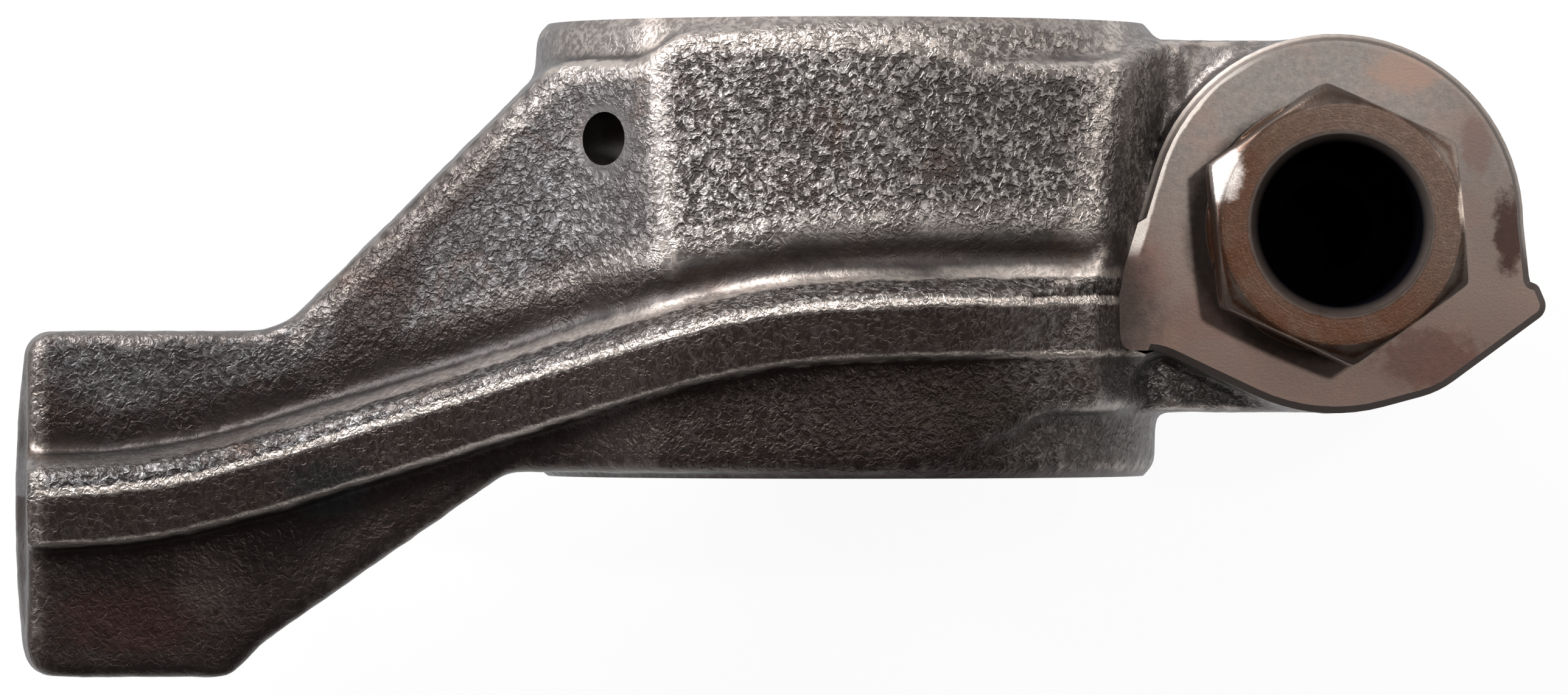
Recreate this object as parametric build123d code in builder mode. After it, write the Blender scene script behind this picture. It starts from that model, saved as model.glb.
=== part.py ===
"""Shaft-mounted, offset rocker arm of a pushrod engine with its adjusting screw.

Frame: the origin is the centre of the shaft bore. +Y runs along the shaft, +X points
at the adjusting screw, +Z is up and parallel to the screw. Millimetres throughout.
"""
from build123d import *
import math
import os

os.makedirs("parts", exist_ok=True)

# ---------------------------------------------------------------- driving dimensions
# shaft barrel
SHAFT_R = 11.1125            # a 7/8 in rocker shaft
SHAFT_CLEARANCE = 0.03       # radial running clearance
BARREL_R = 16.2
BARREL_LENGTH = 23.6
BARREL_EDGE = 0.6
BORE_CHAMFER = 0.5

# pushrod boss
BOSS_X, BOSS_Y = 24.7, 1.3
BOSS_R = 9.8
BOSS_FACE_Z = 10.0
BOSS_FOOT_Z = -4.0
BOSS_EDGE = 0.35

# arm that carries both ends
ARM_TOP_Z = 7.6              # level of the arm beside the boss
ARM_FOOT_Z = -3.4
ARM_FRONT_Y = 10.85
ARM_BACK_Y = -8.45
VALLEY_DRAFT = 24            # degrees, slope of the step between crown and boss
DROP_FRONT = 0.05            # fall of the arm's top away from the spine, per mm
DROP_BACK = 0.10

# valve end
PAD_X0, PAD_X1 = -42.8, -31.2
PAD_Y0, PAD_Y1 = -22.25, -4.25
PAD_NOSE = 0.6               # how far the ground foot stands out past the block
PAD_EDGE = 1.4
PAD_CONTACT_R = 14.5
PAD_CONTACT_X = -37.8
PAD_CONTACT_Z = -4.6
PAD_TOP_Z = 4.4
PAD_SHOULDER_Z = 1.0         # the foot slopes back into the block below this level
PAD_CORNER = 1.1             # the block's cut corner beside the arm
NOSE_Y = -12.8               # where the foot stands out most

# spine rib: it runs level over the pad, climbs across the arm, then level over the barrel
SPINE_TOP_WIDTH = 2.5        # the sloping part of the top, behind the crest line
SPINE_TOP_FALL = 1.2
SPINE_STRIP_PAD = 1.4        # the level strip in front of the crest line narrows
SPINE_STRIP_BARREL = 0.6     # from the pad to the barrel
SPINE_DEPTH = 5.0            # from the spine's top to its foot, sunk in the web
SPINE_FOOT_FRONT = 2.5       # how far the foot stands out from the crest line
SPINE_FOOT_BACK = 0.6        # and from the back edge
SPINE_SPREAD_X = 8.0         # from here the front side spreads to meet the boss
SPINE_SPREAD = 0.066
SPINE_PAD_Y = -14.25
SPINE_SLOPE = 0.335
SPINE_BEND_PAD_X, SPINE_BEND_BARREL_X = -35.8, -5.4
SPINE_BEND_SOFTNESS = 5.0
SPINE_EDGE = 0.5
SPINE_STATIONS = [-42.8, -38.5, -34.0, -28.0, -22.0, -17.0, -13.0, -8.5, -3.0, 3.0, 8.5, 12.0, 16.2]
SPINE_HEIGHTS = [
    (-45.0, 6.8),
    (-30.0, 7.6),
    (-16.5, 13.4),
    (-8.5, 19.2),
    (3.0, 20.6),
    (8.5, 17.9),
    (17.0, 8.8),
]
SPINE_HEIGHT_SOFTNESS = 3.0

# oil hole, drilled from the top of the valve arm down into the bore
OIL_R = 1.38
OIL_MOUTH = (-13.1, 5.6, 12.0)
OIL_LEAN = 30                # degrees from vertical
OIL_REACH = 6                # cutter starts this far above the mouth
OIL_DEPTH = 9

# adjusting screw
SCREW_X, SCREW_Y = 24.45, 1.2
THREAD_R = 5.55              # 7/16 in thread, drawn at its outside diameter
THREAD_CLEARANCE = 0.05
HEX_FLATS = 12.7             # 1/2 in across flats
HEX_TURN = 35.4              # degrees, where the first corner of the hexagon stands
HEAD_UNDERSIDE_Z = BOSS_FACE_Z + 0.9
HEAD_HEIGHT = 4.2
WASHER_FACE_R = 6.6
WASHER_FACE_HEIGHT = 0.5
HEAD_FACE_R = 6.25           # round face left inside the corner chamfers
CORNER_CHAMFER = 30          # degrees
SOCKET_R = 4.2
SOCKET_DEPTH = 7.0
SOCKET_CHAMFER = 0.42
DRILL_R = 2.4
DRILL_DEPTH = 16.0
SHANK_END_Z = -7.6
SHANK_CHAMFER = 0.8
NECK_R = 3.4
BALL_R = 4.7625              # 3/8 in ball
BALL_Z = -11.6

BARREL_HALF = BARREL_LENGTH / 2
BORE_R = SHAFT_R + SHAFT_CLEARANCE
HEAD_TOP_Z = HEAD_UNDERSIDE_Z + HEAD_HEIGHT
SPINE_LEVEL_Y = SPINE_PAD_Y + SPINE_SLOPE * (SPINE_BEND_BARREL_X - SPINE_BEND_PAD_X)
TALL = 60                    # more than the casting's height


def soft_ramp(x, start, softness):
    """Zero left of start, then a line of slope one, with a rounded corner."""
    return ((x - start) + math.hypot(x - start, softness)) / 2


def spine_y(x):
    """Plan position of the spine's centre line: level, slanted, level."""
    bend_in = soft_ramp(x, SPINE_BEND_PAD_X, SPINE_BEND_SOFTNESS)
    bend_out = soft_ramp(x, SPINE_BEND_BARREL_X, SPINE_BEND_SOFTNESS)
    return SPINE_PAD_Y + SPINE_SLOPE * (bend_in - bend_out)


def spine_top_z(x):
    """Height of the spine's top: straight runs between the given heights, softened."""
    slopes = [(z1 - z0) / (x1 - x0) for (x0, z0), (x1, z1) in zip(SPINE_HEIGHTS, SPINE_HEIGHTS[1:])]
    z = SPINE_HEIGHTS[0][1] + slopes[0] * (x - SPINE_HEIGHTS[0][0])
    for before, after, (bend, _) in zip(slopes, slopes[1:], SPINE_HEIGHTS[1:]):
        z += (after - before) * soft_ramp(x, bend, SPINE_HEIGHT_SOFTNESS)
    return z


def spine_strip(x):
    """Width of the level strip in front of the crest line."""
    share = min(1, max(0, (x - PAD_X0) / (SPINE_BEND_BARREL_X - PAD_X0)))
    return SPINE_STRIP_PAD + share * (SPINE_STRIP_BARREL - SPINE_STRIP_PAD)


def spine_spread(x):
    """How far the front side moves out beside the boss."""
    return SPINE_SPREAD * max(0, x - SPINE_SPREAD_X) ** 2


def pad_contact_z(x):
    """Height of the convex contact surface under the pad."""
    drop = math.sqrt(PAD_CONTACT_R**2 - (x - PAD_CONTACT_X) ** 2)
    return PAD_CONTACT_Z + PAD_CONTACT_R - drop


# ---------------------------------------------------------------- the arm's web
# Side profile of the web: pad end on the left, crown over the barrel, boss end on the right.
# Each entry is x, z and the radius that rounds that corner.
WEB_PROFILE = [
    (-42.8, PAD_TOP_Z, 0),
    (-28.5, 5.1, 14),
    (-14.8, 11.3, 7),
    (-10.7, 15.1, 1.5),
    (0.8, 18.3, 24),
    (17.0, 12.4, 0),
    (17.0, ARM_TOP_Z, 0),
    (30.0, ARM_TOP_Z, 0),
    (30.0, ARM_FOOT_Z, 0),
    (18.0, ARM_FOOT_Z, 4),
    (11.0, -11.0, 0),
    (-11.0, -11.0, 0),
    (-17.5, -2.9, 5),
    (-31.0, -1.5, 6),
    (-42.8, -0.6, 0),
]

# Plan outline of the web, counter-clockwise from the pad's back corner.
WEB_OUTLINE = [
    (PAD_X0, PAD_Y0, PAD_EDGE),
    (-32.3, PAD_Y0, 1.2),
    (-30.4, -20.35, 3),
    (-18.0, -11.5, 2.5),
    (3.0, -11.5, 2),
    (9.5, ARM_BACK_Y, 2),
    (BOSS_X, ARM_BACK_Y, 0),
    (BOSS_X, ARM_FRONT_Y, 0),
    (14.6, ARM_FRONT_Y, 0.8),
    (12.9, 9.65, 0.8),
    (6.4, 9.65, 2),
    (2.4, 11.1, 3),
    (-9.2, 11.1, 1.5),
    (-11.4, 9.7, 0.8),
    (-15.6, 9.7, 2.2),
    (-29.6, PAD_Y1, 3.6),
    (PAD_X0, PAD_Y1, PAD_EDGE),
]


# Plan outline, at its floor, of the valley between the crown and the boss.
VALLEY_OUTLINE = [(16.9, 20.0), (14.9, -5.0), (14.9, -20.0), (40.0, -20.0), (40.0, 20.0)]


# The boss is round at the front, runs out over the end of the spine on the barrel side
# and carries a cast lip on its far back corner. Between the round stretches the outline
# follows these points.
BOSS_FRONT_ARC = (0, 163)     # degrees, where the arc starts and how far it turns
BOSS_BACK_ARC = (245, 40)
RUNOUT_POINTS = [(14.1, 0.155, 3.0), (13.4, -2.0, 3.0), (13.45, -5.25, 0.8), (15.6, -5.25, 3.0)]
LIP_POINTS = [(30.1, -7.4, 5.0), (35.85, -3.2, 0.8), (35.25, -1.8, 0.45), (34.83, -1.75, 0.2)]


def corners(outline):
    """The bare points of an outline."""
    return [(u, v) for u, v, _ in outline]


def radii(outline):
    """The corner radii of an outline."""
    return [radius for _, _, radius in outline]


with BuildPart() as web:
    with BuildSketch(Plane.XZ.offset(-SPINE_LEVEL_Y)) as side:
        with BuildLine():
            FilletPolyline(*corners(WEB_PROFILE), radius=radii(WEB_PROFILE), close=True)
        make_face()
    extrude(amount=TALL / 2, dir=(0, 1, -DROP_FRONT))
    extrude(side.sketch, amount=TALL / 2, dir=(0, -1, -DROP_BACK))
    with BuildSketch(Plane.XY.offset(-TALL / 2)):
        with BuildLine():
            FilletPolyline(*corners(WEB_OUTLINE), radius=radii(WEB_OUTLINE), close=True)
        make_face()
    extrude(amount=TALL, mode=Mode.INTERSECT)
    # the step down from the crown to the level of the boss arm
    with BuildSketch(Plane.XY.offset(ARM_TOP_Z)):
        with BuildLine():
            Polyline(*VALLEY_OUTLINE, close=True)
        make_face()
    extrude(amount=TALL / 4, taper=-VALLEY_DRAFT, mode=Mode.SUBTRACT)

# ---------------------------------------------------------------- barrel, boss, pad and spine
with BuildPart() as barrel:
    with BuildSketch(Plane.XZ.offset(-BARREL_HALF)):
        Circle(BARREL_R)
    extrude(amount=BARREL_LENGTH)
    chamfer(barrel.edges(), BARREL_EDGE)

with BuildPart() as boss:
    with BuildSketch(Plane.XY.offset(BOSS_FOOT_Z)):
        with BuildLine():
            front = CenterArc((BOSS_X, BOSS_Y), BOSS_R, *BOSS_FRONT_ARC)
            back = CenterArc((BOSS_X, BOSS_Y), BOSS_R, *BOSS_BACK_ARC)
            FilletPolyline(front @ 1, *corners(RUNOUT_POINTS), back @ 0, radius=radii(RUNOUT_POINTS))
            FilletPolyline(back @ 1, *corners(LIP_POINTS), front @ 0, radius=radii(LIP_POINTS))
        make_face()
    extrude(amount=BOSS_FACE_Z - BOSS_FOOT_Z)
    boss_face = boss.faces().sort_by(Axis.Z)[-1]
    chamfer(boss_face.edges(), BOSS_EDGE)

with BuildPart() as pad:
    with BuildSketch(Plane.XZ.offset(-PAD_Y1)):
        with BuildLine():
            foot = ThreePointArc(
                (PAD_X0 - PAD_NOSE, pad_contact_z(PAD_X0 - PAD_NOSE)),
                (PAD_CONTACT_X, PAD_CONTACT_Z),
                (PAD_X1, pad_contact_z(PAD_X1)),
            )
            Polyline(
                foot @ 1,
                (PAD_X1, PAD_SHOULDER_Z),
                (PAD_X0, PAD_SHOULDER_Z),
                (PAD_X0 - PAD_NOSE, PAD_SHOULDER_Z - PAD_NOSE),
                foot @ 0,
            )
        make_face()
    extrude(amount=PAD_Y1 - PAD_Y0)
    with BuildSketch(Plane.XY.offset(-TALL / 2)):
        with BuildLine():
            nose = ThreePointArc(
                (PAD_X0, PAD_Y0), (PAD_X0 - PAD_NOSE, NOSE_Y), (PAD_X0, PAD_Y1)
            )
            Polyline(
                nose @ 1,
                (PAD_X1, PAD_Y1),
                (PAD_X1, PAD_Y0 + PAD_CORNER),
                (PAD_X1 - PAD_CORNER, PAD_Y0),
                nose @ 0,
            )
        make_face()
        fillet(vertices().group_by(Axis.X)[0], PAD_EDGE)
    extrude(amount=TALL, mode=Mode.INTERSECT)

with BuildPart() as spine:
    for x in SPINE_STATIONS:
        front = spine_y(x) + SPINE_TOP_WIDTH / 2
        back = spine_y(x) - SPINE_TOP_WIDTH / 2
        top = spine_top_z(x)
        with BuildSketch(Plane.YZ.offset(x)):
            with BuildLine():
                Polyline(
                    (front, top),
                    (back, top - SPINE_TOP_FALL),
                    (back - SPINE_FOOT_BACK, top - SPINE_DEPTH),
                    (front + SPINE_FOOT_FRONT + spine_spread(x), top - SPINE_DEPTH),
                    (front + spine_strip(x) + spine_spread(x), top),
                    close=True,
                )
            make_face()
            fillet(vertices().sort_by(Axis.X)[-2:].sort_by(Axis.Y)[-1:], SPINE_EDGE)
            fillet(vertices().sort_by(Axis.X)[:2].sort_by(Axis.Y)[-1:], SPINE_EDGE)
    loft()

# ---------------------------------------------------------------- the finished casting
with BuildPart() as rocker_casting:
    for blank in (web, barrel, boss, pad, spine):
        add(blank.part)
    # the cutter that faces the boss leaves nothing standing above its plane
    extrude(boss_face, amount=TALL / 4, mode=Mode.SUBTRACT)
    # shaft bore with a chamfered mouth at each end
    with BuildSketch(Plane.YZ):
        with BuildLine():
            Polyline(
                (-BARREL_HALF, 0),
                (-BARREL_HALF, BORE_R + BORE_CHAMFER),
                (-BARREL_HALF + BORE_CHAMFER, BORE_R),
                (BARREL_HALF - BORE_CHAMFER, BORE_R),
                (BARREL_HALF, BORE_R + BORE_CHAMFER),
                (BARREL_HALF, 0),
                close=True,
            )
        make_face()
    revolve(axis=Axis.Y, mode=Mode.SUBTRACT)
    # threaded hole for the adjusting screw
    with BuildSketch(Plane.XY.offset(BOSS_FOOT_Z)):
        with Locations((SCREW_X, SCREW_Y)):
            Circle(THREAD_R + THREAD_CLEARANCE)
    extrude(amount=BOSS_FACE_Z - BOSS_FOOT_Z, mode=Mode.SUBTRACT)
    # oil hole, leaning in towards the bore
    lean = math.radians(OIL_LEAN)
    oil_plane = Plane(origin=OIL_MOUTH, z_dir=(-math.sin(lean), 0, math.cos(lean)))
    with BuildSketch(oil_plane.offset(OIL_REACH)):
        Circle(OIL_R)
    extrude(amount=-OIL_REACH - OIL_DEPTH, mode=Mode.SUBTRACT)
rocker_casting.part.label = "rocker_casting"
export_step(rocker_casting.part, "parts/rocker_casting.step")

# ---------------------------------------------------------------- adjusting screw
screw_axis = Axis((SCREW_X, SCREW_Y, 0), (0, 0, 1))
screw_side = Plane(origin=(SCREW_X, SCREW_Y, 0), x_dir=(1, 0, 0), z_dir=(0, -1, 0))
corner_slope = math.tan(math.radians(CORNER_CHAMFER))
corner_r = HEX_FLATS / math.sqrt(3)

with BuildPart() as adjusting_screw:
    # hexagon with its corners turned off above and below
    with BuildSketch(Plane.XY.offset(HEAD_UNDERSIDE_Z)):
        with Locations((SCREW_X, SCREW_Y)):
            RegularPolygon(HEX_FLATS / 2, 6, major_radius=False, rotation=HEX_TURN)
    extrude(amount=HEAD_HEIGHT)
    with BuildSketch(screw_side):
        with BuildLine():
            Polyline(
                (0, HEAD_UNDERSIDE_Z),
                (HEAD_FACE_R, HEAD_UNDERSIDE_Z),
                (corner_r, HEAD_UNDERSIDE_Z + (corner_r - HEAD_FACE_R) * corner_slope),
                (corner_r, HEAD_TOP_Z - (corner_r - HEAD_FACE_R) * corner_slope),
                (HEAD_FACE_R, HEAD_TOP_Z),
                (0, HEAD_TOP_Z),
                close=True,
            )
        make_face()
    revolve(axis=screw_axis, mode=Mode.INTERSECT)
    # washer face, shank, neck and ball
    with BuildSketch(screw_side):
        with BuildLine():
            stem = Polyline(
                (0, HEAD_UNDERSIDE_Z + WASHER_FACE_HEIGHT),
                (WASHER_FACE_R, HEAD_UNDERSIDE_Z + WASHER_FACE_HEIGHT),
                (WASHER_FACE_R, HEAD_UNDERSIDE_Z),
                (THREAD_R, HEAD_UNDERSIDE_Z),
                (THREAD_R, SHANK_END_Z + SHANK_CHAMFER),
                (THREAD_R - SHANK_CHAMFER, SHANK_END_Z),
                (NECK_R, SHANK_END_Z),
                (NECK_R, BALL_Z + math.sqrt(BALL_R**2 - NECK_R**2)),
            )
            ball = ThreePointArc(stem @ 1, (BALL_R, BALL_Z), (0, BALL_Z - BALL_R))
            Line(ball @ 1, stem @ 0)
        make_face()
    revolve(axis=screw_axis)
    # deep socket, then the smaller drilling below it with its pointed end
    with BuildSketch(screw_side):
        with BuildLine():
            Polyline(
                (0, HEAD_TOP_Z),
                (SOCKET_R + SOCKET_CHAMFER, HEAD_TOP_Z),
                (SOCKET_R, HEAD_TOP_Z - SOCKET_CHAMFER),
                (SOCKET_R, HEAD_TOP_Z - SOCKET_DEPTH),
                (DRILL_R, HEAD_TOP_Z - SOCKET_DEPTH - (SOCKET_R - DRILL_R) * corner_slope),
                (DRILL_R, HEAD_TOP_Z - DRILL_DEPTH),
                (0, HEAD_TOP_Z - DRILL_DEPTH - DRILL_R * corner_slope),
                close=True,
            )
        make_face()
    revolve(axis=screw_axis, mode=Mode.SUBTRACT)
adjusting_screw.part.label = "adjusting_screw"
export_step(adjusting_screw.part, "parts/adjusting_screw.step")
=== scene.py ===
"""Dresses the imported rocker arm: an as-cast skin for the arm, a turned and threaded
adjusting screw, and a plain pale studio stage."""

import math

import bmesh
import bpy
import numpy as np
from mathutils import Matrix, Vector, noise
from mathutils.bvhtree import BVHTree
from mathutils.kdtree import KDTree


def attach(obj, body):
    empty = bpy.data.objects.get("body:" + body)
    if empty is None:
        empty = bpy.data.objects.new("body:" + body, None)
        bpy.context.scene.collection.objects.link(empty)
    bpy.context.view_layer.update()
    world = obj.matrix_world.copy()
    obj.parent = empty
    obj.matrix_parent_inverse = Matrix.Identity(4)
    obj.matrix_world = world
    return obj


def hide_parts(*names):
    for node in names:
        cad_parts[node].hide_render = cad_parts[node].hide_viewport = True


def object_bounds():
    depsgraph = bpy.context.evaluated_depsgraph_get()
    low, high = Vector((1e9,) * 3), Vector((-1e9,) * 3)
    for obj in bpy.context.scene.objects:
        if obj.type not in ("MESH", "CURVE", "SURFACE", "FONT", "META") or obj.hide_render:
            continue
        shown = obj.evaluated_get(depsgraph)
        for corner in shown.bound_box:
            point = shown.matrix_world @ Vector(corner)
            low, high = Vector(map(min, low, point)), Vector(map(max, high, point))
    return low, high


bl_info = {
    "name": "Rocker arm looks",
    "version": (1, 0, 0),
    "blender": (4, 5, 0),
    "location": "3D View > Sidebar > Rocker arm",
    "description": "Builds the cast skin, the adjusting screw and the stage round the packed arm",
    "category": "Object",
}

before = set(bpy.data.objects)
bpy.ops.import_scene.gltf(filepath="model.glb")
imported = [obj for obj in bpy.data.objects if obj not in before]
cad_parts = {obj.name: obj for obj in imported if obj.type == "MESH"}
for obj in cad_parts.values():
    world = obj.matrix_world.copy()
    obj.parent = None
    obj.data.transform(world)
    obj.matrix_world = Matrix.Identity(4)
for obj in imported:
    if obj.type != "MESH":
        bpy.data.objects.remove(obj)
CAD_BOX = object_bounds()

MM = 0.001

# Places on the casting, in millimetres, repeated from the part's source.
BARREL_R, BARREL_HALF, BORE_R, BORE_CHAMFER = 16.2, 11.8, 11.1425, 0.6
BOSS_X, BOSS_Y, BOSS_FACE_Z = 24.7, 1.3, 10.0
BOSS_START_X, BOSS_REACH, BOSS_CHAMFER = 13.0, 12.8, 0.36
SCREW_X, SCREW_Y, HOLE_R = 24.45, 1.2, 5.6
SPINE_PAD_Y, SPINE_SLOPE, SPINE_HALF_TOP = -14.25, 0.335, 1.25
SPINE_BEND_PAD_X, SPINE_BEND_BARREL_X, SPINE_BEND_SOFTNESS = -35.8, -5.4, 5.0
SPINE_HEIGHT_X = (-45, -30, -16.5, -8.5, 3, 8.5, 17)
SPINE_HEIGHT_Z = (6.8, 7.6, 13.4, 19.2, 20.6, 17.9, 8.8)
OIL_HOLE = np.array((-13.1, 5.6, 12.0))
OIL_AXIS = np.array((-0.5, 0.0, 0.866))
OIL_R = 1.38
RIDGE_X, RIDGE_SLANT = -10.55, 0.06
RIGHT_RIDGE_X, RIGHT_RIDGE_SLANT, RIDGE_Y = 13.2, 0.185, 8.6
FOOT_X, FOOT_Z, FOOT_R, FOOT_END_X = -37.8, -4.6, 14.5, -31.1

# How a mesh is worked: lengths in millimetres, but the weld, which is in metres, and angles.
WELD = 1e-6
IN_PLANE = 0.01
SKIN_OVERLAP, SEAM_SPACING, SEAM_REACH = 0.08, 0.04, 0.5
REMESH_DEPTH, REMESH_SCALE = 8, 0.93
MILLED_CREASE, SCREW_CREASE = math.radians(30), math.radians(28)
SCREW_FACETS, HEXAGON_POWER, BALL_RINGS, THREAD_STEPS = 180, 90, 24, 10

# A bead of painted highlight just inside the front outline of the arm and the crown, in plan.
BEAD_HIGHLIGHT_PATH = (
    (-29.0, -4.9),
    (-15.2, 8.8),
    (-11.6, 9.1),
    (-9.4, 10.5),
    (2.2, 10.5),
    (6.3, 9.2),
    (12.8, 9.2),
)

# Stained spots on the boss face: centre and reach in mm, colour and strength.
BOSS_STAINS = (
    ((33.7, 0.8, 10.0), (0.8, 2.4, 1.0), (0.035, 0.016, 0.012, 1), 0.9),
    ((28.4, 9.2, 10.0), (1.9, 1.2, 1.0), (0.26, 0.16, 0.12, 1), 0.55),
    ((14.8, -1.0, 10.0), (1.2, 1.7, 1.0), (0.24, 0.125, 0.105, 1), 0.45),
    ((29.6, -5.7, 10.0), (2.8, 1.6, 1.0), (0.075, 0.03, 0.024, 1), 0.6),
    ((18.0, -3.6, 10.0), (2.2, 1.3, 1.0), (0.13, 0.07, 0.06, 1), 0.4),
    ((32.0, 5.4, 10.0), (0.9, 1.6, 1.0), (0.11, 0.06, 0.05, 1), 0.5),
)
# The painted shadow of the screw's head on the boss face, offset to its left and lower left, the
# same way.
HEAD_SHADOW_ON_BOSS = (
    ((SCREW_X - 0.95, SCREW_Y - 0.4, 10.0), (7.25, 7.25, 1.0), (0.02, 0.015, 0.013, 1), 0.8),
)
# The painted shadow where the spine's crest runs into the boss face, the same way.
SPINE_SHADOW_ON_BOSS = (((12.7, -2.6, 10.0), (2.9, 4.0, 1.0), (0.04, 0.029, 0.025, 1), 0.9),)

# Marks on the screw's head: two corners painted bright as highlights and a darker stain.
HEAD_HIGHLIGHTS_AND_STAIN = (
    ((18.2, 4.0, 14.6), (1.3, 1.7, 1.6), (0.62, 0.56, 0.53, 1), 0.8),
    ((30.75, 2.3, 14.7), (0.32, 1.3, 0.8), (0.6, 0.5, 0.42, 1), 0.8),
    ((24.1, 8.2, 14.6), (2.4, 1.2, 1.5), (0.05, 0.035, 0.028, 1), 0.7),
)

# Stained spots on the cast skin, listed the same way.
CAST_STAINS = (
    ((-37.4, -19.2, 2.0), (4.2, 1.9, 9.0), (0.06, 0.02, 0.015, 1), 0.36),
    ((-33.6, -17.2, 2.0), (1.8, 2.0, 9.0), (0.075, 0.055, 0.05, 1), 0.5),
    ((-27.2, -12.2, 4.0), (2.6, 1.8, 9.0), (0.03, 0.033, 0.036, 1), 0.55),
    ((5.0, -8.2, 12.0), (3.5, 1.4, 9.0), (0.03, 0.024, 0.016, 1), 0.5),
)

# Patches of painted sheen on the grain's tops, in plan: centre, reach along x and y, and strength.
SHEEN_PATCHES = (
    (-33.4, -8.6, 2.4, 2.4, 1.0),
    (-14.6, 1.6, 3.2, 3.2, 1.0),
    (-20.6, -4.2, 3.2, 1.3, 1.2),
    (-5.0, 9.3, 5.0, 1.8, 1.0),
)

# Where the spine's crest breaks beside the boss, in plan, and how deep; the break is also painted
# dark as shade.
CREST_GAP_PATH = ((8.7, -2.55), (10.2, -2.35), (11.9, -2.2), (13.0, -2.45))
CREST_GAP_DEPTH = 0.22
# The painted highlight that ends the crest against the boss, in plan.
CREST_END_HIGHLIGHT_PATH = ((10.2, -1.55), (12.0, -1.15), (12.4, -0.2))

# The screw, in millimetres about its own axis.
HEAD_UNDERSIDE_Z, HEAD_TOP_Z = 10.9, 15.1
WASHER_FACE_R, WASHER_FACE_TOP = 6.6, 11.4
HEAD_FACE_R = 6.25
CORNER_SLOPE = math.tan(math.radians(30))
SOCKET_R, SOCKET_FLOOR_Z, DRILL_R, DRILL_FLOOR_Z = 4.2, 8.1, 2.4, -0.9
THREAD_R, SHANK_END_Z = 5.55, -7.6
NECK_R, BALL_R, BALL_Z = 3.4, 4.7625, -11.6

# Colours that only the materials use.
HOLLOW_SHADE_AND_GRIME = (0.02, 0.016, 0.015, 1)
BACK_SLOPE_SHADE = (0.055, 0.034, 0.028, 1)
MILLED_SHADE = (0.125, 0.112, 0.104, 1)
MILLED_STAIN = (0.27, 0.155, 0.115, 1)
MILLED_FALLOFF_SHADE = (0.06, 0.042, 0.036, 1)
MILLED_HIGHLIGHT = (0.72, 0.65, 0.6, 1)
HOLE_OIL_AND_SHADE = (0.012, 0.01, 0.01, 1)
RIM_DARK = (0.045, 0.03, 0.024, 1)
STEEL_SHADE = (0.075, 0.055, 0.045, 1)
STEEL_RUBBED = (0.5, 0.45, 0.41, 1)
SOCKET_SHADE_COLOUR = (0.0012, 0.0012, 0.002, 1)
PAPER_SPECK = (0.9, 0.9, 0.9, 1)
WHITE = (1, 1, 1, 1)
TENT_LIGHT = (1.0, 0.985, 0.965, 1)

# The soft lamps: name, place and width in millimetres, power in watts and colour.
LAMPS = (
    ("key lamp", (119, 83, 582), 28, 0.95, (1.0, 0.99, 0.975)),
    ("front lamp", (-250, 370, 260), 200, 2.9, (1.0, 0.985, 0.97)),
    ("valve end lamp", (-430, 190, 230), 180, 2.2, (0.95, 0.97, 1.0)),
    ("pushrod end lamp", (420, 160, 240), 200, 0.7, (1.0, 0.98, 0.95)),
)
# The stage: lengths in metres, the lens and the sensor in millimetres, the aim in millimetres.
FLOOR_HALF, FLOOR_GAP = 3.0, 0.00005
LENS, SENSOR, VIEW_NEAR, VIEW_FAR = 262.9, 36.0, 0.01, 20.0
CAMERA_AIM = (-3.22, -5.10, -0.2)


# ------------------------------------------------------------------ settings
def colour_setting(name, description, default):
    """A colour that a user may change."""
    return bpy.props.FloatVectorProperty(
        name=name,
        description=description,
        default=default,
        min=0.0,
        max=1.0,
        size=3,
        subtype="COLOR",
    )


def length_setting(name, description, default, limits, precision=2):
    """A length, in metres, that a user may change between two limits."""
    return bpy.props.FloatProperty(
        name=name,
        description=description,
        default=default,
        min=limits[0],
        max=limits[1],
        precision=precision,
        subtype="DISTANCE",
        unit="LENGTH",
    )


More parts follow.
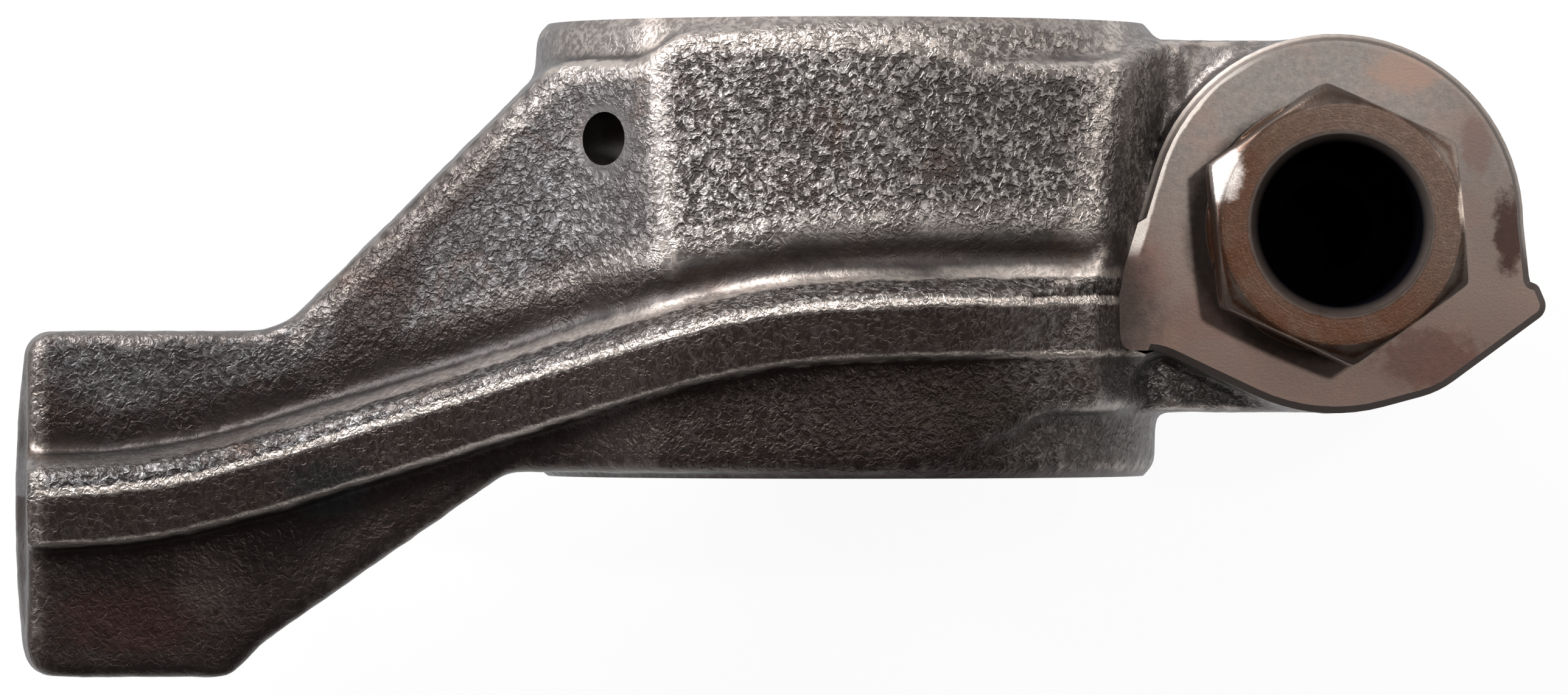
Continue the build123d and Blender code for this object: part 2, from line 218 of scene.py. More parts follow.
class RockerCastingSettings(bpy.types.PropertyGroup):
    """Sizes and colours of the as-cast arm."""

    grain_size: length_setting(
        "Grain size",
        "Width of one grain of the cast surface",
        0.0004,
        (0.0001, 0.002),
        precision=5,
    )
    grain_depth: length_setting(
        "Grain depth",
        "Depth of the cast grain on the roughest places",
        0.00011,
        (0.0, 0.0005),
        precision=5,
    )
    lump_height: length_setting(
        "Lump height",
        "Height of the broad unevenness of the cast skin",
        0.00007,
        (0.0, 0.0004),
        precision=5,
    )
    valley_depth: length_setting(
        "Valley depth",
        "Depth of the shallow valley along the front foot of the spine",
        0.00032,
        (0.0, 0.001),
        precision=5,
    )
    edge_softening: bpy.props.IntProperty(
        name="Edge softening",
        description="Rounds of smoothing that give the cast corners their radius",
        default=12,
        min=0,
        max=60,
    )
    boss_fillet: bpy.props.IntProperty(
        name="Boss fillet",
        description="Rounds of smoothing that run the crown and the spine out beside the boss",
        default=50,
        min=0,
        max=120,
    )
    iron_colour: colour_setting(
        "Iron colour", "Colour of the bare cast iron on its high spots", (0.36, 0.335, 0.325)
    )
    cool_colour: colour_setting(
        "Cool iron colour",
        "Colour of the high spots on the valve arm, which is bluer",
        (0.3, 0.295, 0.302),
    )
    oiled_colour: colour_setting(
        "Oiled colour", "Colour of the oiled iron between the high spots", (0.026, 0.02, 0.019)
    )
    stain_colour: colour_setting(
        "Stain colour",
        "Colour of the brown stain left by burnt oil and light rust",
        (0.08, 0.045, 0.03),
    )
    # Painted shade: this colour darkens the back of the spine behind its crest, and with the oil
    # the valley beside it and the steep sides.
    back_shade_and_oil_colour: colour_setting(
        "Soot colour", "Colour of the baked oil behind the crest of the spine", (0.02, 0.011, 0.009)
    )
    # Painted highlights: this colour also paints the ridges, the spine's wall and crest lines and
    # the boss's rim bright, besides the rubbed edges.
    rubbed_and_highlight_colour: colour_setting(
        "Rubbed colour", "Colour of edges rubbed bright", (0.66, 0.58, 0.53)
    )
    milled_colour: colour_setting(
        "Milled colour",
        "Colour of the milled boss face and the barrel's ends",
        (0.235, 0.205, 0.185),
    )


class RockerScrewSettings(bpy.types.PropertyGroup):
    """Sizes and colours of the adjusting screw."""

    flats: length_setting(
        "Across flats", "Width of the hexagon across its flats", 0.0127, (0.005, 0.03), precision=4
    )
    turn: bpy.props.FloatProperty(
        name="Head turn",
        description="Where the first corner of the hexagon stands",
        default=math.radians(35.4),
        min=0.0,
        max=math.radians(60),
        subtype="ANGLE",
        unit="ROTATION",
    )
    thread_pitch: length_setting(
        "Thread pitch",
        "Distance from one thread to the next",
        0.00127,
        (0.0004, 0.003),
        precision=5,
    )
    thread_depth: length_setting(
        "Thread depth", "Depth of the thread", 0.00072, (0.0, 0.002), precision=5
    )
    steel_colour: colour_setting(
        "Steel colour", "Colour of the clean turned steel", (0.082, 0.061, 0.051)
    )
    bronze_stain: colour_setting(
        "Bronze stain", "Colour of the heat and oil stain on the head", (0.052, 0.02, 0.009)
    )


class RockerStageSettings(bpy.types.PropertyGroup):
    """The floor, the light and the camera."""

    floor_colour: colour_setting("Floor colour", "Colour of the pale floor", (0.93, 0.93, 0.93))
    camera_distance: length_setting(
        "Camera distance", "Distance from the camera to the arm", 0.6, (0.1, 5.0)
    )
    camera_tilt: bpy.props.FloatProperty(
        name="Camera tilt",
        description="How far the camera stands to the valve side of straight above",
        default=math.radians(3.5),
        min=0.0,
        max=math.radians(45),
        subtype="ANGLE",
        unit="ROTATION",
    )
    lamp_power: bpy.props.FloatProperty(
        name="Lamp strength",
        description="Factor on all lamps",
        default=1.0,
        min=0.0,
        max=5.0,
    )


# ------------------------------------------------------------------ mesh helpers
def smoothstep(low, high, values):
    """0 below low, 1 above high, smooth between."""
    t = np.clip((values - low) / (high - low), 0.0, 1.0)
    return t * t * (3 - 2 * t)


def between(start, rise, fall, end, values):
    """0 before start, 1 from rise to fall and 0 after end, smooth between."""
    return smoothstep(start, rise, values) * (1 - smoothstep(fall, end, values))


def spine_line(x):
    """Plan position, in mm, of the spine's centre line."""
    into = (x - SPINE_BEND_PAD_X) + np.hypot(x - SPINE_BEND_PAD_X, SPINE_BEND_SOFTNESS)
    out = (x - SPINE_BEND_BARREL_X) + np.hypot(x - SPINE_BEND_BARREL_X, SPINE_BEND_SOFTNESS)
    return SPINE_PAD_Y + SPINE_SLOPE * (into - out) / 2


def mesh_points(mesh):
    """The vertices of a mesh in millimetres, as rows of x, y, z."""
    points = np.empty(len(mesh.vertices) * 3)
    mesh.vertices.foreach_get("co", points)
    return points.reshape(-1, 3) / MM


def set_mesh_points(mesh, points):
    """Writes rows of millimetres back to the mesh."""
    mesh.vertices.foreach_set("co", (points * MM).ravel())
    mesh.update()


def mesh_normals(mesh):
    """The vertex normals of a mesh."""
    normals = np.empty(len(mesh.vertices) * 3)
    mesh.vertex_normals.foreach_get("vector", normals)
    return normals.reshape(-1, 3)


def placed(name, data):
    """A new object in the scene."""
    piece = bpy.data.objects.new(name, data)
    bpy.context.scene.collection.objects.link(piece)
    return piece


def welded(mesh):
    """A working copy of a mesh with its doubled vertices merged."""
    work = bmesh.new()
    work.from_mesh(mesh)
    bmesh.ops.remove_doubles(work, verts=work.verts, dist=WELD)
    return work


def finished(work, name):
    """A new mesh from a working copy, which is freed."""
    mesh = bpy.data.meshes.new(name)
    work.to_mesh(mesh)
    work.free()
    return mesh


class Neighbours:
    """Averages values over the vertices that share an edge."""

    def __init__(self, mesh):
        ends = np.empty(len(mesh.edges) * 2, dtype=np.int64)
        mesh.edges.foreach_get("vertices", ends)
        ends = ends.reshape(-1, 2)
        self.count = len(mesh.vertices)
        self.here = np.concatenate([ends[:, 0], ends[:, 1]])
        self.there = np.concatenate([ends[:, 1], ends[:, 0]])
        self.degree = np.maximum(np.bincount(self.here, minlength=self.count), 1)

    def mean(self, values):
        """Mean of each vertex's neighbours, for one column or several."""
        if values.ndim == 1:
            total = np.bincount(self.here, weights=values[self.there], minlength=self.count)
            return total / self.degree
        return np.stack([self.mean(values[:, k]) for k in range(values.shape[1])], axis=1)


def paint(mesh, name, values):
    """Stores one number per vertex for the materials to read."""
    layer = mesh.attributes.get(name) or mesh.attributes.new(name, "FLOAT", "POINT")
    layer.data.foreach_set("value", np.ascontiguousarray(values, dtype=np.float32))


def roundness(mesh, neighbours, reach):
    """How convex the surface is at each vertex: above 0 on edges, below 0 in hollows."""
    points = mesh_points(mesh)
    spread = points
    for _ in range(reach):
        spread = neighbours.mean(spread)
    return np.einsum("ij,ij->i", points - spread, mesh_normals(mesh))


def paint_edges(mesh, neighbours, reach, full):
    """Stores how convex the surface is, as 1 where the roundness in mm reaches full."""
    paint(mesh, "edge", np.clip(roundness(mesh, neighbours, reach) / full, -1, 1))


def waves(points, size, octaves, seed):
    """Fractal noise at each point, about -1 to 1, with features of the given size in mm."""
    shift = Vector((seed * 13.7, seed * 7.1, seed * 3.3))
    values = [noise.fractal(Vector(p) / size + shift, 0.7, 2.1, octaves) for p in points]
    return np.array(values)


# ------------------------------------------------------------------ the cast arm
def remeshed(node, name):
    """A fine, even copy of a CAD node that keeps its sharp edges."""
    mesh = finished(welded(node.data), name + "_blank")
    piece = placed(name, mesh)
    modifier = piece.modifiers.new("even faces", "REMESH")
    modifier.mode = "SHARP"
    modifier.octree_depth = REMESH_DEPTH
    modifier.scale = REMESH_SCALE
    modifier.use_remove_disconnected = False
    depsgraph = bpy.context.evaluated_depsgraph_get()
    fine = bpy.data.meshes.new_from_object(piece.evaluated_get(depsgraph))
    piece.modifiers.clear()
    piece.data = fine
    fine.name = name
    bpy.data.meshes.remove(mesh)
    return piece


def is_machined(corners):
    """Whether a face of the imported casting, given by its corners in mm, was cut by a tool."""
    x, y, z = corners.T
    round_r = np.hypot(x, z)
    bore = (round_r < BORE_R + BORE_CHAMFER) & (np.abs(y) < BARREL_HALF + IN_PLANE)
    ends = (np.abs(y) > BARREL_HALF - IN_PLANE) & (round_r < BARREL_R + IN_PLANE)
    screw_hole = np.hypot(x - SCREW_X, y - SCREW_Y) < HOLE_R + 2 * IN_PLANE
    boss = (z > BOSS_FACE_Z - BOSS_CHAMFER - IN_PLANE) & (z < BOSS_FACE_Z + IN_PLANE)
    boss = boss & (x > BOSS_START_X) & (np.hypot(x - BOSS_X, y - BOSS_Y) < BOSS_REACH)
    away = corners - OIL_HOLE
    from_axis = away - (away @ OIL_AXIS)[:, None] * OIL_AXIS
    oil_hole = np.linalg.norm(from_axis, axis=1) < OIL_R + 3 * IN_PLANE
    foot_z = FOOT_Z + FOOT_R - np.sqrt(np.clip(FOOT_R**2 - (x - FOOT_X) ** 2, 0, None))
    foot = (x < FOOT_END_X) & (np.abs(z - foot_z) < 2 * IN_PLANE)
    return any(np.all(place) for place in (bore, ends, screw_hole, boss, oil_hole, foot))


def shade_machined(mesh):
    """Shades the boss face and the barrel's ends flat, and the other faces smooth."""
    if "custom_normal" in mesh.attributes:
        mesh.attributes.remove(mesh.attributes["custom_normal"])
    smooth = []
    for face in mesh.polygons:
        _, y, z = face.center / MM
        on_boss = face.normal.z > 0.9999 and abs(z - BOSS_FACE_Z) < IN_PLANE
        on_barrel = abs(face.normal.y) > 0.9999 and abs(abs(y) - BARREL_HALF) < IN_PLANE
        smooth.append(not on_boss and not on_barrel)
    mesh.polygons.foreach_set("use_smooth", smooth)
    mesh.set_sharp_from_angle(angle=MILLED_CREASE)


def machined_piece(node):
    """The machined faces alone, exactly as packed, so that their edges stay crisp."""
    cut = welded(node.data)
    cast = []
    for face in cut.faces:
        corners = np.array([vert.co for vert in face.verts]) / MM
        if not is_machined(corners):
            cast.append(face)
    bmesh.ops.delete(cut, geom=cast, context="FACES")
    piece = placed("machined_faces", finished(cut, "machined_faces"))
    shade_machined(piece.data)
    return piece


def rim_faces(mesh):
    """The narrow broken edge round the boss face."""
    chosen = []
    for face in mesh.polygons:
        x, y, z = face.center / MM
        if x > BOSS_START_X and z > BOSS_FACE_Z - BOSS_CHAMFER and 0.3 < face.normal.z < 0.95:
            if math.hypot(x - SCREW_X, y - SCREW_Y) > HOLE_R + 0.5:
                chosen.append(face.index)
    return chosen


def border_samples(mesh, spacing):
    """Points along the open border of a mesh, in mm, no further apart than spacing."""
    faces = bmesh.new()
    faces.from_mesh(mesh)
    samples = []
    for edge in faces.edges:
        if len(edge.link_faces) == 1:
            start, end = (vert.co / MM for vert in edge.verts)
            count = max(1, int((end - start).length / spacing))
            samples += [start.lerp(end, k / count) for k in range(count + 1)]
    faces.free()
    return samples


def cut_back_to(skin, machined):
    """Removes the skin over the machined faces and sews its border to theirs."""
    tree = BVHTree.FromPolygons(
        [vert.co / MM for vert in machined.vertices],
        [list(face.vertices) for face in machined.polygons],
    )
    faces = bmesh.new()
    faces.from_mesh(skin)
    covered = []
    for face in faces.faces:
        centre = face.calc_center_median() / MM
        _, normal, _, distance = tree.find_nearest(centre)
        if distance < SKIN_OVERLAP and normal.dot(face.normal) > 0.85:
            covered.append(face)
    bmesh.ops.delete(faces, geom=covered, context="FACES")
    samples = border_samples(machined, SEAM_SPACING)
    border = KDTree(len(samples))
    for index, place in enumerate(samples):
        border.insert(place, index)
    border.balance()
    for vert in faces.verts:
        if any(edge.is_boundary for edge in vert.link_edges):
            place, _, distance = border.find(vert.co / MM)
            if distance < SEAM_REACH:
                vert.co = place * MM
    faces.to_mesh(skin)
    faces.free()
    return tree


def distance_to(tree, points, reach):
    """Distance in mm from each point to the machined faces, at most reach."""
    found = [tree.find_nearest(Vector(point), reach)[3] for point in points]
    return np.array([reach if value is None else value for value in found])


def soften_cast_edges(mesh, free, rounds):
    """Rounds the cast corners and leaves what meets a machined face where it is."""
    points = mesh_points(mesh)
    neighbours = Neighbours(mesh)
    for _ in range(rounds):
        points = points + 0.5 * free[:, None] * (neighbours.mean(points) - points)
    set_mesh_points(mesh, points)
    return neighbours


# The masks from here on paint by place. Their bare numbers are places and widths in
# millimetres, slopes of a unit normal, and strengths from 0 to 1.
def from_crest(points):
    """Distance in plan, in mm, from the spine's crest line; above 0 towards the front."""
    return points[:, 1] - (spine_line(points[:, 0]) + SPINE_HALF_TOP)


def ridge_distance(points):
    """Distance in plan, along x, from each of the two ridges that bound the crown."""
    x, y, _ = points.T
    left = x - (RIDGE_X + RIDGE_SLANT * (RIDGE_Y - y))
    right = x - (RIGHT_RIDGE_X + RIGHT_RIDGE_SLANT * (y - RIDGE_Y))
    return left, right


def path_distance(points, path):
    """Distance in plan, in mm, from each point to a path of straight runs."""
    nearest = np.full(len(points), np.inf)
    for start, end in zip(path, path[1:]):
        start = np.array(start)
        run = np.array(end) - start
        share = np.clip((points[:, :2] - start) @ run / (run @ run), 0, 1)
        gap = points[:, :2] - (start + share[:, None] * run)
        nearest = np.minimum(nearest, np.hypot(gap[:, 0], gap[:, 1]))
    return nearest


def bump_at(values, centre, width):
    """1 at the centre, falling smoothly to 0 over the width."""
    return np.exp(-(((values - centre) / width) ** 2))


def front_side(crest):
    """1 in front of the valley that runs beside the spine."""
    return smoothstep(3.0, 4.4, crest)


def on_spine_top(points, normals):
    """1 on the spine's top, falling to 0 down its sides, at 4.8 mm below the crest."""
    below = np.interp(points[:, 0], SPINE_HEIGHT_X, SPINE_HEIGHT_Z) - points[:, 2]
    upper = np.clip(1 - below / 4.8, 0, 1) * (1 - smoothstep(14.4, 15.2, points[:, 0]))
    return upper * smoothstep(-0.2, 0.1, normals[:, 2])


def at_pad_end(points):
    """1 on the end face of the pad."""
    return smoothstep(-42.3, -42.8, points[:, 0])


def steep_side(normals):
    """1 on upright and overhanging skin, 0 on skin that faces up."""
    return 1 - smoothstep(0.0, 0.35, normals[:, 2])


def grain_mask(points, normals, ragged):
    """How rough the cast skin is, away from the spine: strongest on the crown."""
    x, _, z = points.T
    crest = from_crest(points)
    left, right = ridge_distance(points)
    level = smoothstep(0.5, 0.85, normals[:, 2])
    above = crest + 0.9 * ragged
    crown = smoothstep(-0.4, 0.6, left) * (1 - smoothstep(0.5, 1.3, right))
    crown = crown * smoothstep(3.3, 4.6, above)
    arm = (1 - smoothstep(-0.9, 0.2, left)) * smoothstep(2.5, 3.9, above)
    under = (0.2 + 0.3 * smoothstep(-17, -7, x)) * (1 - smoothstep(-3.2, -2.6, crest))
    under = under * smoothstep(0.2, 0.6, normals[:, 2])
    wall = 0.6 * smoothstep(0.6, 1.4, right) * front_side(crest)
    wall = wall * (1 - 0.6 * smoothstep(14.6, 16.0, x)) * smoothstep(6.5, 8.0, z)
    sides = 0.3 * (1 - smoothstep(0.2, 0.6, normals[:, 2]))
    rough = np.maximum.reduce([crown * level, 0.62 * arm * level, under, wall, sides])
    return np.clip(rough, 0, 1)


def painted_highlight_mask(points, normals):
    """Where the skin is painted bright as highlights: the ridges, the crest line and the crown's
    lower fold.
    """
    x, y, _ = points.T
    crest = from_crest(points)
    left, right = ridge_distance(points)
    front = smoothstep(2.8, 4.2, crest)
    ridges = 0.6 * bump_at(left, 0.0, 0.5) * front + 0.7 * bump_at(right, -0.6, 0.8) * front
    beside = between(-24, -8, 12.4, 13.4, x)
    fold = 0.36 * bump_at(crest, 4.6, 0.6) * beside
    up = smoothstep(0.1, 0.5, normals[:, 2])
    bead = bump_at(path_distance(points, BEAD_HIGHLIGHT_PATH), 0.0, 0.4)
    share = 0.2 + 0.3 * smoothstep(-24, -13, x)
    on_spine = between(-2.6, -2.3, 1.5, 1.9, crest)
    above = smoothstep(1.9, 2.4, crest)
    lump = 0.75 * bump_at(path_distance(points, CREST_END_HIGHLIGHT_PATH), 0.0, 0.42)
    end = lump + bump_at(x, -42.25, 0.34) * (0.12 + 0.5 * on_spine + 0.28 * above)
    band = 0.36 * smoothstep(9.5, 10.3, y) * (1 - smoothstep(11.5, 12.6, x))
    beside_boss = 0.16 * smoothstep(13.2, 13.9, x) * front_side(crest)
    return np.clip((ridges + fold + share * bead + end + band + beside_boss) * up, 0, 1)


def shine_mask(points):
    """Painted sheen on the grain's tops: low on the crown, at its ends and in patches."""
    x, y, _ = points.T
    crest = from_crest(points)
    left, right = ridge_distance(points)
    broad = waves(points, 5.5, 2, 5)
    on_crown = smoothstep(-0.5, 0.5, left)
    low = bump_at(crest, 5.4, 1.6) * smoothstep(-26, -16, x)
    ends = bump_at(right, -1.2, 1.5) + 0.5 * bump_at(left, 1.6, 2.5) * on_crown
    patch = 0.8 * smoothstep(13.0, 14.0, x) * front_side(crest)
    for centre_x, centre_y, reach_x, reach_y, share in SHEEN_PATCHES:
        away = np.hypot((x - centre_x) / reach_x, (y - centre_y) / reach_y)
        patch = patch + share * bump_at(away, 0.0, 1.0)
    base = 0.42 * on_crown + 0.26 * (1 - on_crown)
    return np.clip(base + 0.42 * low + 0.4 * ends + 0.45 * patch + 0.45 * broad, 0, 1)


def oil_and_shade_mask(points, normals):
    """Where the skin is painted dark: oil on the arm, and painted shade in the valley beside the
    spine, the pad's corner and the steep sides.
    """
    x, _, _ = points.T
    crest = from_crest(points)
    broad = waves(points, 7.5, 2, 3)
    arm_side = 1 - smoothstep(-16, -8, x)
    valley = bump_at(crest, 2.75 + 0.3 * arm_side, 0.95 + 0.3 * arm_side)
    valley = valley * (1 - smoothstep(12.5, 14.0, x))
    arm = 1 - smoothstep(-24, -9, x)
    front = smoothstep(2.2, 3.4, crest)
    mid_arm = between(-31, -27, -13, -11, x)
    even = 0.36 * arm + 0.26 * mid_arm
    patches = (even + smoothstep(-0.3, 0.35, broad) * (0.22 + 0.4 * arm)) * front
    patches = patches * (1 - 0.8 * smoothstep(12.0, 14.0, x))
    oil = np.clip(0.9 * valley + patches, 0, 1)
    steep = steep_side(normals)
    return oil * (1 - steep) + (0.4 + 0.4 * at_pad_end(points)) * steep


def round_skin(mesh, free, settings):
    """Gives the cast corners their radius and runs the crown out beside the boss."""
    points = mesh_points(mesh)
    on_spine = between(-3.2, -2.6, 1.6, 2.4, from_crest(points))
    upper = smoothstep(0.0, 3.0, points[:, 2])
    hold = 1 - 0.72 * on_spine * upper
    neighbours = soften_cast_edges(mesh, free * hold, settings.edge_softening)
    points = mesh_points(mesh)
    beside_boss = bump_at(points[:, 0], 13.9, 1.5) * smoothstep(7.0, 9.5, points[:, 2])
    beside_boss = beside_boss * smoothstep(-7.5, -6.0, points[:, 1])
    soften_cast_edges(mesh, free * beside_boss, settings.boss_fillet)
    return neighbours


def dress_skin(mesh, free, settings):
    """Rounds and roughens the cast skin, paints its masks and gives it its material."""
    neighbours = round_skin(mesh, free, settings)
    points = mesh_points(mesh)
    normals = mesh_normals(mesh)
    crest = from_crest(points)
    broad = waves(points, 2.6, 2, 1)
    fine = waves(points, 0.9, 2, 2)
    grain = grain_mask(points, normals, broad)
    lift = settings.lump_height / MM * (0.7 * broad + (0.25 + 0.75 * grain) * fine)
    up = smoothstep(0.3, 0.8, normals[:, 2])
    beside = between(-13.5, -9.0, 10, 13, points[:, 0])
    groove = bump_at(crest, 2.45, 0.85) * (0.4 + 0.6 * beside) * up
    lift = lift - settings.valley_depth / MM * groove
    gap = bump_at(path_distance(points, CREST_GAP_PATH), 0.0, 0.3)
    lift = lift - CREST_GAP_DEPTH * gap
    points = points + normals * (lift * free)[:, None]
    low, high = np.array(CAD_BOX) / MM
    set_mesh_points(mesh, np.clip(points, low, high))
    paint(mesh, "grain", grain * smoothstep(0.1, 0.9, free))
    paint_edges(mesh, neighbours, 3, 0.1)
    # The worn values are painted highlights on the ridges, the fold, the bead and the crest's ends.
    paint(mesh, "worn", painted_highlight_mask(points, normals))
    # The oil values hold oil on the arm, and painted shade in the valley, on the steep sides and in
    # the crest's break.
    paint(mesh, "oil", np.maximum(oil_and_shade_mask(points, normals), 0.9 * gap))
    # The shine values are painted sheen on the grain's tops.
    paint(mesh, "shine", shine_mask(points))
    paint(mesh, "crest", crest)
    paint(mesh, "spine", on_spine_top(points, normals))
    # How much painted shade shows behind the crest and in the hollows: less towards the boss and on
    # steep sides.
    fade = 1 - 0.5 * smoothstep(5, 12, points[:, 0]) - 0.35 * smoothstep(12.5, 15, points[:, 0])
    paint(mesh, "fade", fade * (1 - (0.6 + 0.3 * at_pad_end(points)) * steep_side(normals)))
    mesh.shade_smooth()
    mesh.materials.append(cast_skin_material(settings))


def dress_machined(mesh, settings):
    """Paints the bore dark with oil and the oil hole dark with painted shade, and gives the faces
    their materials.
    """
    points = mesh_points(mesh)
    radius = np.hypot(points[:, 0], points[:, 2])
    inside = 1 - smoothstep(BORE_R + 0.02, BORE_R + 0.4, radius)
    in_oil_hole = np.linalg.norm(points - OIL_HOLE, axis=1) < 6.5
    paint(mesh, "inside", np.maximum(inside, 1.7 * in_oil_hole))
    mesh.materials.append(milled_face_material(settings))
    mesh.materials.append(rim_highlight_material(settings))
    for index in rim_faces(mesh):
        mesh.polygons[index].material_index = 1


def casting_piece(settings):
    """The cast skin of the arm, sewn to its machined faces."""
    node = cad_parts["rocker_casting"]
    machined = machined_piece(node)
    arm = remeshed(node, "cast_arm")
    tree = cut_back_to(arm.data, machined.data)
    away = distance_to(tree, mesh_points(arm.data), 1.5)
    dress_skin(arm.data, smoothstep(0.02, 1.0, away), settings)
    dress_machined(machined.data, settings)
    return arm, machined


# ------------------------------------------------------------------ the adjusting screw
def hexagon_r(angle, flats, turn):
    """Radius of a hexagon with very slightly rounded corners, at an angle."""
    total = 0.0
    for k in range(6):
        side = math.cos(angle - turn - math.radians(30 + 60 * k))
        if side > 0:
            total += side**HEXAGON_POWER
    return flats / 2 / total ** (1 / HEXAGON_POWER)


def thread_profile(phase):
    """Depth of a 60 degree thread, 0 at the crest and 1 at the root, over one pitch."""
    folded = abs(phase % 1.0 - 0.5) * 2
    return min(1.0, max(0.0, (0.875 - folded) / 0.75))


def screw_section(angle, settings):
    """Outline of the screw at one angle, from the bottom of its drilling to the ball's pole.

    Each row is a radius and a height in mm; the small offsets between rows break the edges.
    """
    corner = hexagon_r(angle, settings.flats / MM, settings.turn)
    upper = HEAD_TOP_Z - (corner - HEAD_FACE_R) * CORNER_SLOPE
    proud = smoothstep(WASHER_FACE_R - 0.08, WASHER_FACE_R + 0.08, np.array(corner)).item()
    chamfer_z = HEAD_UNDERSIDE_Z + (corner - HEAD_FACE_R) * CORNER_SLOPE
    disc_z = HEAD_UNDERSIDE_Z + (WASHER_FACE_R - HEAD_FACE_R) * CORNER_SLOPE
    side_foot = WASHER_FACE_TOP + proud * (chamfer_z - WASHER_FACE_TOP)
    disc_top = WASHER_FACE_TOP + proud * (disc_z - WASHER_FACE_TOP)
    rows = [(0.0, DRILL_FLOOR_Z - 1.38), (1.2, DRILL_FLOOR_Z - 0.69)]
    rows += [(DRILL_R, DRILL_FLOOR_Z + k) for k in (0, 2.5, 5.0, 7.2)]
    rows += [(DRILL_R, SOCKET_FLOOR_Z - 1.0), (SOCKET_R - 0.1, SOCKET_FLOOR_Z - 0.03)]
    rows += [(SOCKET_R, SOCKET_FLOOR_Z + k) for k in (0.1, 1.5, 3.0, 4.5, 5.8)]
    rows += [(SOCKET_R, HEAD_TOP_Z - 0.46), (SOCKET_R + 0.03, HEAD_TOP_Z - 0.4)]
    rows += [(SOCKET_R + 0.38, HEAD_TOP_Z - 0.05), (SOCKET_R + 0.45, HEAD_TOP_Z)]
    rows += [(r, HEAD_TOP_Z) for r in (4.9, 5.3, 5.7, 6.0)]
    rows += [(HEAD_FACE_R - 0.07, HEAD_TOP_Z - 0.004), (HEAD_FACE_R + 0.04, HEAD_TOP_Z - 0.03)]
    rows += [(0.5 * (HEAD_FACE_R + corner), 0.5 * (HEAD_TOP_Z + upper))]
    rows += [(corner - 0.05, upper + 0.02), (corner, upper - 0.06)]
    rows += [(corner, upper + t * (side_foot - upper)) for t in (0.25, 0.5, 0.75)]
    rows += [(corner, side_foot + 0.05), (max(corner, WASHER_FACE_R) - 0.05, side_foot)]
    rows += [(WASHER_FACE_R - 0.01, disc_top), (WASHER_FACE_R, disc_top - 0.04)]
    rows += [(WASHER_FACE_R, HEAD_UNDERSIDE_Z + 0.05), (WASHER_FACE_R - 0.05, HEAD_UNDERSIDE_Z)]
    rows += [(THREAD_R - 0.02, HEAD_UNDERSIDE_Z), (THREAD_R - 0.62, HEAD_UNDERSIDE_Z - 0.02)]
    pitch, depth = settings.thread_pitch / MM, settings.thread_depth / MM
    steps = int((HEAD_UNDERSIDE_Z - SHANK_END_Z - 0.1) / (pitch / THREAD_STEPS))
    for k in range(1, steps):
        z = HEAD_UNDERSIDE_Z - 0.02 - k * pitch / THREAD_STEPS
        lead_out = max(0.0, (SHANK_END_Z + 0.8) - z)
        groove = depth * thread_profile(z / pitch - angle / (2 * math.pi))
        rows.append((min(THREAD_R - groove, THREAD_R - lead_out), z))
    rows += [(THREAD_R - 0.85, SHANK_END_Z), (NECK_R + 0.1, SHANK_END_Z)]
    neck_z = BALL_Z + math.sqrt(BALL_R**2 - NECK_R**2)
    rows += [(NECK_R, SHANK_END_Z - 0.08), (NECK_R, neck_z + 0.06)]
    start = math.acos((neck_z - BALL_Z) / BALL_R)
    for k in range(BALL_RINGS + 1):
        turn = start + (math.pi - start) * k / BALL_RINGS
        rows.append((BALL_R * math.sin(turn), BALL_Z + BALL_R * math.cos(turn)))
    rows[-1] = (0.0, BALL_Z - BALL_R)
    return rows


def screw_piece(settings):
    """The hollow hexagon screw with its washer face, thread, neck and ball."""
    angles = [settings.turn + k * (2 * math.pi / SCREW_FACETS) for k in range(SCREW_FACETS)]
    sections = [screw_section(angle, settings) for angle in angles]
    body = bmesh.new()
    rings = []
    for row in zip(*sections):
        ring = []
        for angle, (r, z) in list(zip(angles, row))[: 1 if row[0][0] == 0.0 else None]:
            place = (SCREW_X + r * math.cos(angle), SCREW_Y + r * math.sin(angle), z)
            ring.append(body.verts.new([value * MM for value in place]))
        rings.append(ring)
    for upper, lower in zip(rings, rings[1:]):
        for k in range(SCREW_FACETS):
            after = (k + 1) % SCREW_FACETS
            corners = [upper[k % len(upper)], upper[after % len(upper)]]
            corners += [lower[after % len(lower)], lower[k % len(lower)]]
            body.faces.new(list(dict.fromkeys(corners)))
    bmesh.ops.recalc_face_normals(body, faces=body.faces)
    mesh = finished(body, "screw_body")
    piece = placed("screw_body", mesh)
    mesh.shade_smooth()
    mesh.set_sharp_from_angle(angle=SCREW_CREASE)
    paint_edges(mesh, Neighbours(mesh), 2, 0.05)
    x, y, z = mesh_points(mesh).T
    radius = np.hypot(x - SCREW_X, y - SCREW_Y)
    # Painted shade: the socket and its drilling, and a ring at its mouth, are painted near black.
    hollow = (radius < SOCKET_R + 0.05) & (z > DRILL_FLOOR_Z - 2) & (z < HEAD_TOP_Z - 0.3)
    deep = hollow & ((radius < NECK_R - 0.5) | (z > SOCKET_FLOOR_Z - 2))
    mouth = (radius > SOCKET_R - 0.1) & (radius < SOCKET_R + 0.5) & (z > HEAD_TOP_Z - 0.5)
    paint(mesh, "socket_shade", np.maximum(deep, 0.7 * mouth))
    mesh.materials.append(screw_steel_material(settings))
    return piece


